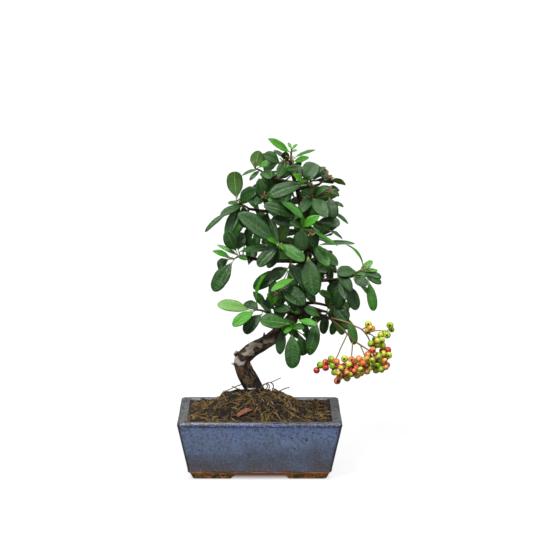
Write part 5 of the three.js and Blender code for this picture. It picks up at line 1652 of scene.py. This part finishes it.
def planned_sprays():
    """Every spray: its node, where its twig starts and ends, its leaves, and how fine their blades are."""
    for name, (root, tip, leaves) in FRONT_SPRAYS.items():
        yield name, spot(*root), spot(*tip), front_leaves(root, tip, leaves), FINE_BLADE
    for i, (root, tip, count) in enumerate(BACK_SPRAYS):
        leaves = back_leaves(root, tip, count, FIRST_SEED + i)
        yield f"spray_back_{i + 1:02}", spot(*root), spot(*tip), leaves, PLAIN_BLADE


def grow_leaf(growth, leaf, shape):
    """One leaf on its stalk; shape holds draws for its outline, its pattern and its curve aside."""
    outline, pattern, aside = shape
    arc = leaf_frame(leaf)
    if leaf["stalk"]:
        stalk = [leaf["stalk"].lerp(leaf["base"] + arc["heading"] * 0.6, k / 3) for k in range(4)]
        growth.line(stalk, [0.6, 0.5, 0.45, 0.42], age=0.75)
    large = kind_of(leaf) == "large"
    growth.point(
        leaf["base"],
        is_leaf=True, heading=arc["heading"], upward=arc["upward"], side=arc["side"],
        axis=placed(leaf["base"]), bend_radius=arc["bend_radius"] * MM,
        half_width=leaf["width"] / 2 * LEAF_FULLNESS * MM, arch=leaf["arch"],
        fold=BLADE_FOLD, taper=outline * (0.55 if large else 0.9),
        age=leaf["age"], seed=pattern, sickle=aside * 0.1 * arc["length"] * MM,
    )


def build_inner_leaves(tree):
    """Small leaves on short twigs inside the crown, which close it between the sprays; their dark colour is
    painted shade.
    """
    wood = [place for path, _, _, kind in wood_lines() if kind != "stub" for place in path]
    wood = [place for place in wood if place.z > INNER_FLOOR]
    rng = random.Random(INNER_SEED)
    growth = Growth()
    for across, up in INNER_LEAVES:
        middle = spot(across, up, rng.uniform(*INNER_DEPTH))
        start = min(wood, key=lambda place: (place - middle).length)
        away = middle - start
        way = Vector((away.x + rng.uniform(-9, 9), rng.uniform(-3, 3), away.z + rng.uniform(-9, 6)))
        way.normalize()
        length = rng.uniform(*INNER_LENGTH)
        # Low ages keep these leaves dark: painted shade inside the crown
        leaf = {
            "base": middle - way * length / 2, "tip": middle + way * length / 2, "stalk": None,
            "width": length * rng.uniform(*INNER_WIDTH_SHARE), "lean": rng.uniform(-25, 25), "arch": ARCH,
            "outward": VIEWER_SIDE, "age": rng.uniform(0, 0.36),
        }
        knee = start.lerp(leaf["base"], 0.5) - way * 0.1 * away.length
        path = smooth_path([start, knee, leaf["base"] + way * 0.6], 3)
        growth.line(path, [mix(0.9, 0.45, k / (len(path) - 1)) for k in range(len(path))], age=0.3)
        grow_leaf(growth, leaf, (rng.random(), rng.random(), rng.uniform(-1, 1)))
    piece = growth.cloud("leaves_inner")
    grow(piece, tree, **SMALL_BLADE)
    finish_piece(piece, "leaf")


def build_sprays(settings):
    tree = spray_tree(leaf_material(settings), twig_material())
    build_inner_leaves(tree)
    rng = random.Random(SPRAY_SEED)
    for name, root, tip, leaves, blade in planned_sprays():
        surface = surface_of(name)
        growth = Growth()
        path = [twig_point(root, tip, k / 8) for k in range(9)]
        growth.line(path[:-1], [mix(TWIG_RADIUS, TWIG_TIP_RADIUS, k / 8) for k in range(8)], age=0.42)
        for leaf in leaves:
            shape = (rng.random(), rng.random(), rng.uniform(-1, 1))
            found = as_in_solid(leaf, surface)
            if found:
                grow_leaf(growth, found, shape)
        piece = growth.cloud("leaves_" + name.removeprefix("spray_"))
        grow(piece, tree, **blade)
        finish_piece(piece, "leaf", name)


# Berries and buds


def berry_template(skin, calyx):
    """A berry with its pole at +Z: a shallow dimple closed by five dark sepals."""
    bm = bmesh.new()
    segments, rows = 14, 9
    turns = [2 * math.pi * k / segments for k in range(segments)]
    rings = []
    for j in range(rows - 1, 0, -1):
        polar = math.pi * j / rows
        radius = 1 - 0.2 * math.exp(-((polar / 0.4) ** 2))
        flat, high = math.sin(polar), math.cos(polar) * BERRY_SQUAT
        ring = [Vector((flat * math.cos(a), flat * math.sin(a), high)) * radius for a in turns]
        rings.append([v * BERRY_RADIUS * MM for v in ring])
    skins = loft(bm, rings, caps=False)
    bottom = bm.verts.new(Vector((0, 0, -BERRY_SQUAT)) * BERRY_RADIUS * MM)
    top = bm.verts.new(Vector((0, 0, 0.74)) * BERRY_RADIUS * MM)
    for i in range(segments):
        j = (i + 1) % segments
        bm.faces.new((bottom, skins[0][j], skins[0][i]))
        bm.faces.new((top, skins[-1][i], skins[-1][j]))
    # Sepals: kites that rise outward from the dimple
    for k in range(5):
        middle = 2 * math.pi * k / 5
        out = Vector((math.cos(middle), math.sin(middle), 0))
        across = Vector((-math.sin(middle), math.cos(middle), 0)) * 0.13
        corners = [
            (out * 0.02, 0.8), (out * 0.18 - across, 0.86), (out * 0.36, 0.96), (out * 0.18 + across, 0.86)
        ]
        kites = [
            [bm.verts.new((flat + UP * (z - thick)) * BERRY_RADIUS * MM) for flat, z in corners]
            for thick in (0, 0.12)
        ]
        faces = [kites[0], kites[1][::-1]]
        for i in range(4):
            j = (i + 1) % 4
            faces.append((kites[0][i], kites[1][i], kites[1][j], kites[0][j]))
        for corners in faces:
            bm.faces.new(corners).material_index = 1
    berry = from_bmesh("berry_template", bm, skin, calyx)
    pole = berry.data.attributes.new("pole", "FLOAT", "POINT").data
    for vertex, value in zip(berry.data.vertices, pole):
        value.value = vertex.co.z / MM / BERRY_RADIUS
    return berry


def stalk_points(stalks):
    """Places on the stalks of a bunch where a berry's own stalk may start."""
    points = []
    for stations in stalks:
        for a, b in zip(stations, stations[1:]):
            start, end = spot(*a), spot(*b)
            points += [start.lerp(end, 0.5), end]
    return points


def settled_berries(berries):
    """The middle of each berry, moved along the line of sight to where it has the most room."""
    centres = []
    for across, up, behind, *_ in berries:
        choices = [spot(across, up, behind + shift) for shift in BERRY_SHIFTS]

        def apart(centre):
            return min([(other - centre).length for other in centres] + [2.1 * BERRY_RADIUS])

        best = choices[0]
        for choice in choices[1:]:
            if apart(choice) > apart(best):
                best = choice
        centres.append(best)
    return centres


def build_bunches(settings):
    skin = berry_material(settings)
    # The dried flower end of the fruit: brown-black papery sepals
    stops = ((0.35, "#14100b"), (0.6, "#2c2116"), (0.8, "#4f3c28"))
    template = berry_template(skin, mottled_material("dried sepals", 0.8, 900, stops, 0.2))
    # Fruit stalks: thin green wood, reddened on the sunny side
    stops = ((0.3, "#5d3d2b"), (0.42, "#6e5233"), (0.54, "#76702f"), (0.68, "#98ab48"))
    tree = bunch_tree(mottled_material("reddened fruit stalk", 0.55, 140, stops, 0.2, "age", 0.7))
    rng = random.Random(BERRY_SEED)
    right_end = (CAD_BOX[1][0] - POT_MIDDLE.x) / MM
    for side, stalks, berries, facing, filling, main_age in (
        ("lower", LOWER_STALKS, LOWER_BERRIES, LOWER_FACING, LOWER_FILLING, 0.25),
        ("upper", UPPER_STALKS, UPPER_BERRIES, UPPER_FACING, UPPER_FILLING, 0.45),
    ):
        growth = Growth()
        fruit = (*berries, *filling)
        for i, stations in enumerate(stalks):
            start = MAIN_STALK_RADIUS if i == 0 else SIDE_STALK_RADIUS
            path = smooth_path([spot(*s) for s in stations], 4)
            count = len(path)
            radii = [start * (1 - 0.45 * k / count) for k in range(count)]
            growth.line(path, radii, age=main_age if i == 0 else 0.55)
        along = stalk_points(stalks)
        for i, centre in enumerate(settled_berries(fruit)):
            start = min(along, key=lambda point: (point - centre).length)
            outward = (centre - start).normalized()
            if (centre - start).length > 0.8 * BERRY_RADIUS:
                sag = start.lerp(centre, 0.5) - UP * 0.04 * (centre - start).length
                path = smooth_path([start, sag, centre - outward * 2.4], 3)
                growth.line(path, [0.55, 0.5, 0.5, 0.48, 0.46, 0.45, 0.5], age=0.75)
            axis = outward + Vector((rng.uniform(-0.6, 0.6), rng.uniform(-0.2, 0.9), rng.uniform(-0.9, 0.1)))
            if i in facing:
                axis = Vector((rng.uniform(-0.2, 0.2), -1, rng.uniform(-0.1, 0.25)))
            size = rng.uniform(*BERRY_PLUMPNESS) if i < len(berries) else rng.uniform(0.9, 1.05)
            size = min(size, (right_end - centre.x) / BERRY_RADIUS)
            growth.point(centre, is_leaf=True, axis=axis.normalized(), ripe=fruit[i][3], size=size)
        piece = growth.cloud("berry_bunch_" + side)
        grow(piece, tree, template=template)
        finish_piece(piece, "berry", "berries_" + side)
    bpy.data.objects.remove(template)


def bud_template(scale):
    """A closed flower bud with its tip at +Z."""
    turns = [2 * math.pi * k / 6 for k in range(6)]
    rings = []
    for z, r in ((-1, 0.25), (-0.7, 0.6), (-0.2, 0.85), (0.35, 0.8), (0.8, 0.45), (1, 0.12)):
        rings.append([Vector((r * math.cos(a), r * math.sin(a), z * 1.3)) * scale * MM for a in turns])
    bm = bmesh.new()
    loft(bm, rings)
    # Bud scales: brown and dry, with paler edges
    stops = ((0.3, "#6b4a35"), (0.5, "#9c7858"), (0.7, "#c4a885"))
    return from_bmesh("bud_template", bm, mottled_material("dry bud scale", 0.7, 900, stops, 0.2))


def build_buds():
    # Old flower stalks: thin wood, dried brown
    stops = ((0.3, "#4f3a25"), (0.5, "#7a5a38"), (0.75, "#9a7c4c"))
    tree = bunch_tree(mottled_material("dry flower stalk", 0.8, 500, stops, 0.2))
    template = bud_template(0.8)
    rng = random.Random(BUD_SEED)
    growth = Growth()
    for spray, across, up in BUD_CLUSTERS:
        root, tip, _ = FRONT_SPRAYS[spray]
        middle = spot(across, up, tip[2] - 3)
        start = twig_point(spot(*root), spot(*tip), 0.9)
        growth.line([start, start.lerp(middle, 0.5), middle], [0.6, 0.5, 0.45])
        for _ in range(rng.randint(5, 8)):
            way = Vector((rng.uniform(-1, 1), rng.uniform(-0.9, 0.4), rng.uniform(-0.5, 1))).normalized()
            end = middle + way * rng.uniform(2.5, 6)
            growth.line([middle, middle.lerp(end, 0.6), end], [0.4, 0.35, 0.3])
            growth.point(end, is_leaf=True, axis=way, size=rng.uniform(0.6, 1.1))
    piece = growth.cloud("flower_stalks")
    grow(piece, tree, template=template)
    bpy.data.objects.remove(template)
    finish_piece(piece, "bark")


def build_rootlets():
    """Wiry roots that stand out of the moss beside the trunk."""
    lines = (
        ((-13, 96.5, 2), (-20, 95, 0), (-28, 92, -1), (-36, 88, -2)),
        ((-20, 88, -1), (-26, 90.5, -3), (-31, 93, -4)),
        ((-1, 91, 0), (3, 94, -1), (9, 97, -2), (12.5, 97.5, -3), (23.5, 102.5, -3)),
        ((2, 90, -2), (4, 94, -3), (6.5, 95.5, -3), (8.5, 92.5, -3), (6, 89, -3)),
        ((12, 97.4, -3), (14.5, 95, -3), (15, 91, -3), (13.5, 87, -3)),
        ((8, 96.5, -3), (10.5, 93.5, -4), (9.5, 88, -4)),
        ((20, 86, -4), (27, 90, -5), (33, 91.5, -6)),
    )
    bm = bmesh.new()
    for line in lines:
        path = smooth_path([spot(*p) for p in line], 6)
        count = len(path)
        tube(bm, path, [mix(0.75, 0.5, k / count) for k in range(count)], 6)
    # Dead root hairs: thin grey-brown wood
    hair = mottled_material(
        "dry rootlet", 0.85, 600, ((0.3, "#33281f"), (0.55, "#5c4c3f"), (0.8, "#85766a")), 0.2
    )
    finish_piece(from_bmesh("wiry_roots", bm, hair), "soil")


# Stage


def build_stage(settings):
    scene = bpy.context.scene
    corners = [(x * STAGE_HALF, y * STAGE_HALF, 0) for x, y in ((-1, -1), (1, -1), (1, 1), (-1, 1))]
    mesh = bpy.data.meshes.new("floor")
    mesh.from_pydata(corners, [], [(0, 1, 2, 3)])
    floor = new_object("floor", mesh)
    bm = bmesh.new()
    bmesh.ops.create_uvsphere(bm, u_segments=48, v_segments=24, radius=STAGE_HALF * 0.9)
    bmesh.ops.reverse_faces(bm, faces=bm.faces)
    cove = from_bmesh("cove", bm, outward=False)
    # A light table, white acrylic lit from below so that shadows on it stay faint, under a white cove.
    # Both are only a backdrop, and cast no glare on the tree.
    for backdrop, glow, base in ((floor, settings.table, 0.12), (cove, 1, 0.1)):
        material, shader, node = new_material(
            backdrop.name + " acrylic", Roughness=0.9, Specular_IOR_Level=0, Base_Color=(base, base, base, 1),
            Emission_Color="#ffffff", Emission_Strength=glow,
        )
        backdrop.data.materials.append(material)
        if backdrop is floor:
            # Under the pot the table's glow is painted down to a reddish brown: a painted contact shadow
            # between the feet
            off = node("VectorMath SUBTRACT", node("TexCoord")["Object"], POT_MIDDLE)
            off = node("VectorMath ABSOLUTE", off)
            inside = node("SeparateXYZ", node("VectorMath SUBTRACT", SHADE_HALF, off))
            depth = node("Math MINIMUM", inside["X"], inside["Y"])
            depth = node("MapRange", depth, 0, SHADE_REACH)
            feed(shader, Emission_Color=node("ValToRGB", depth, stops=((0, "#ffffff"), (1, "#5d3d36"))))
        backdrop.visible_diffuse = backdrop.visible_glossy = backdrop.visible_shadow = False
    world = bpy.data.worlds.new("studio")
    world.use_nodes = True
    feed(world.node_tree.nodes["Background"], Color="#ffffff", Strength=settings.fill)
    scene.world = world
    # Broad banks of light above left and right, overhead and, weakly, in front; no one shadow stands out
    for name, way, strength, spread in (
        ("left", Vector((-0.55, -0.9, 1.25)), settings.key, 18),
        ("right", Vector((0.95, -0.6, 1.1)), settings.key * 0.4, 24),
        ("front", Vector((0.15, -1, 0.3)), settings.key * 0.16, 50),
        ("overhead", Vector((0.1, 0.55, 1.3)), settings.key * 0.5, 30),
    ):
        light = bpy.data.lights.new(name, "SUN")
        light.energy, light.angle = strength, math.radians(spread)
        lamp = bpy.data.objects.new(name, light)
        lamp.location = placed(way * 1000)
        lamp.rotation_euler = (-way).to_track_quat("-Z", "Y").to_euler()
        scene.collection.objects.link(lamp)
    camera = bpy.data.cameras.new("camera")
    camera.lens = CAMERA_LENS
    camera.sensor_width = CAMERA_SENSOR
    camera.clip_start, camera.clip_end = 0.1, 100
    eye = bpy.data.objects.new("camera", camera)
    eye.location = placed(CAMERA)
    eye.rotation_euler = (math.radians(CAMERA_PITCH), 0, 0)
    scene.collection.objects.link(eye)
    scene.camera = eye
    scene.view_settings.view_transform = "Standard"


# Settings, operators and panel


def colour(name, description, default):
    return bpy.props.StringProperty(name=name, description=description + ", as sRGB hex", default=default)


def amount(name, description, default, low, high):
    return bpy.props.FloatProperty(name=name, description=description, default=default, min=low, max=high)


class PotSettings(bpy.types.PropertyGroup):
    glaze: colour("Glaze", "Colour of the thick glaze under the rim", "#667797")
    low_glaze: colour("Low glaze", "Colour of the thin glaze near the base", "#4d4643")
    clay: colour("Clay", "Colour of the bare clay", "#d67f4c")


class SoilSettings(bpy.types.PropertyGroup):
    peat: colour("Peat", "Colour of the damp peat", "#170e07")


class BarkSettings(bpy.types.PropertyGroup):
    grain: amount("Grain", "Edge length of the bark's mesh, mm", 0.75, 0.4, 2)
    relief: amount("Relief", "Depth of the cracks, mm", 1.3, 0, 3)
    crack: colour("Crack", "Colour in the cracks", "#080402")
    ridge: colour("Ridge", "Colour of the plates", "#20150b")
    # The weathered grey is also the painted highlight on the trunk's lower bend
    weathered: colour("Weathered", "Colour of weathered bark", "#877a6b")


class LeafSettings(bpy.types.PropertyGroup):
    old: colour("Old leaf", "Upper side of an old leaf", "#123a08")
    young: colour("Young leaf", "Upper side of a young leaf", "#3f9006")
    underside: colour("Underside", "Underside of a leaf", "#4f7822")


class BerrySettings(bpy.types.PropertyGroup):
    unripe: colour("Unripe", "Colour of an unripe berry", "#6c9612")
    ripe: colour("Ripe", "Colour of a ripe berry", "#8f150d")


class StageSettings(bpy.types.PropertyGroup):
    fill: amount("Fill", "Strength of the light from all sides", 0.13, 0, 5)
    key: amount("Key", "Strength of the main light", 3.7, 0, 10)
    table: amount("Table", "Glow of the light table", 0.85, 0, 2)


class PotOperator(bpy.types.Operator):
    """Build the glazed stoneware pot with its feet and drainage holes"""

    bl_idname = "bonsai.pot"
    bl_label = "Pot"

    def execute(self, context):
        build_pot(context.scene.bonsai_pot)
        return {"FINISHED"}


class ScreensOperator(bpy.types.Operator):
    """Finish the plastic mesh over the drainage holes"""

    bl_idname = "bonsai.screens"
    bl_label = "Drainage mesh"

    def execute(self, context):
        build_screens()
        return {"FINISHED"}


class SoilOperator(bpy.types.Operator):
    """Fill the pot with peat and cover it with moss, straw and roots"""

    bl_idname = "bonsai.soil"
    bl_label = "Soil and moss"

    def execute(self, context):
        build_soil(context.scene.bonsai_soil)
        build_rootlets()
        return {"FINISHED"}


class ChipOperator(bpy.types.Operator):
    """Lay the flake of dry bark on the soil"""

    bl_idname = "bonsai.chip"
    bl_label = "Bark chip"

    def execute(self, context):
        build_chip()
        return {"FINISHED"}


class WireOperator(bpy.types.Operator):
    """Lead the anchor wire over the foot of the trunk"""

    bl_idname = "bonsai.wire"
    bl_label = "Anchor wire"

    def execute(self, context):
        build_wire()
        return {"FINISHED"}


class TrunkOperator(bpy.types.Operator):
    """Grow the trunk and branches with their bark"""

    bl_idname = "bonsai.trunk"
    bl_label = "Trunk and branches"

    def execute(self, context):
        build_trunk(context.scene.bonsai_bark)
        return {"FINISHED"}


class SpraysOperator(bpy.types.Operator):
    """Grow the twigs and leaves of every spray"""

    bl_idname = "bonsai.sprays"
    bl_label = "Leafy sprays"

    def execute(self, context):
        build_sprays(context.scene.bonsai_leaf)
        return {"FINISHED"}


class BunchesOperator(bpy.types.Operator):
    """Hang the berries on their stalks"""

    bl_idname = "bonsai.bunches"
    bl_label = "Berries"

    def execute(self, context):
        build_bunches(context.scene.bonsai_berry)
        return {"FINISHED"}


class BudsOperator(bpy.types.Operator):
    """Add the old flower stalks and buds at the ends of the twigs"""

    bl_idname = "bonsai.buds"
    bl_label = "Flower stalks"

    def execute(self, context):
        build_buds()
        return {"FINISHED"}


class StageOperator(bpy.types.Operator):
    """Set up floor, light and camera"""

    bl_idname = "bonsai.stage"
    bl_label = "Stage"

    def execute(self, context):
        build_stage(context.scene.bonsai_stage)
        return {"FINISHED"}


OPERATORS = (
    PotOperator, ScreensOperator, SoilOperator, ChipOperator, WireOperator, TrunkOperator,
    SpraysOperator, BunchesOperator, BudsOperator, StageOperator,
)
SETTINGS = {
    "bonsai_pot": PotSettings, "bonsai_soil": SoilSettings, "bonsai_bark": BarkSettings,
    "bonsai_leaf": LeafSettings, "bonsai_berry": BerrySettings, "bonsai_stage": StageSettings,
}


class BonsaiPanel(bpy.types.Panel):
    """The pieces of the bonsai, in the order in which they are built"""

    bl_idname = "VIEW3D_PT_bonsai"
    bl_label = "Firethorn bonsai"
    bl_space_type = "VIEW_3D"
    bl_region_type = "UI"
    bl_category = "Bonsai"

    def draw(self, context):
        for operator in OPERATORS:
            self.layout.operator(operator.bl_idname)
        for name in SETTINGS:
            settings = getattr(context.scene, name)
            for key in settings.bl_rna.properties.keys():
                if key not in ("rna_type", "name"):
                    self.layout.prop(settings, key)


def register():
    for group in SETTINGS.values():
        bpy.utils.register_class(group)
    for name, group in SETTINGS.items():
        setattr(bpy.types.Scene, name, bpy.props.PointerProperty(type=group))
    for operator in (*OPERATORS, BonsaiPanel):
        bpy.utils.register_class(operator)


def unregister():
    for operator in (BonsaiPanel, *reversed(OPERATORS)):
        bpy.utils.unregister_class(operator)
    for name, group in SETTINGS.items():
        delattr(bpy.types.Scene, name)
        bpy.utils.unregister_class(group)


def main():
    register()
    for operator in OPERATORS:
        group, name = operator.bl_idname.split(".")
        getattr(getattr(bpy.ops, group), name)()


if __name__ == "__main__":
    main()
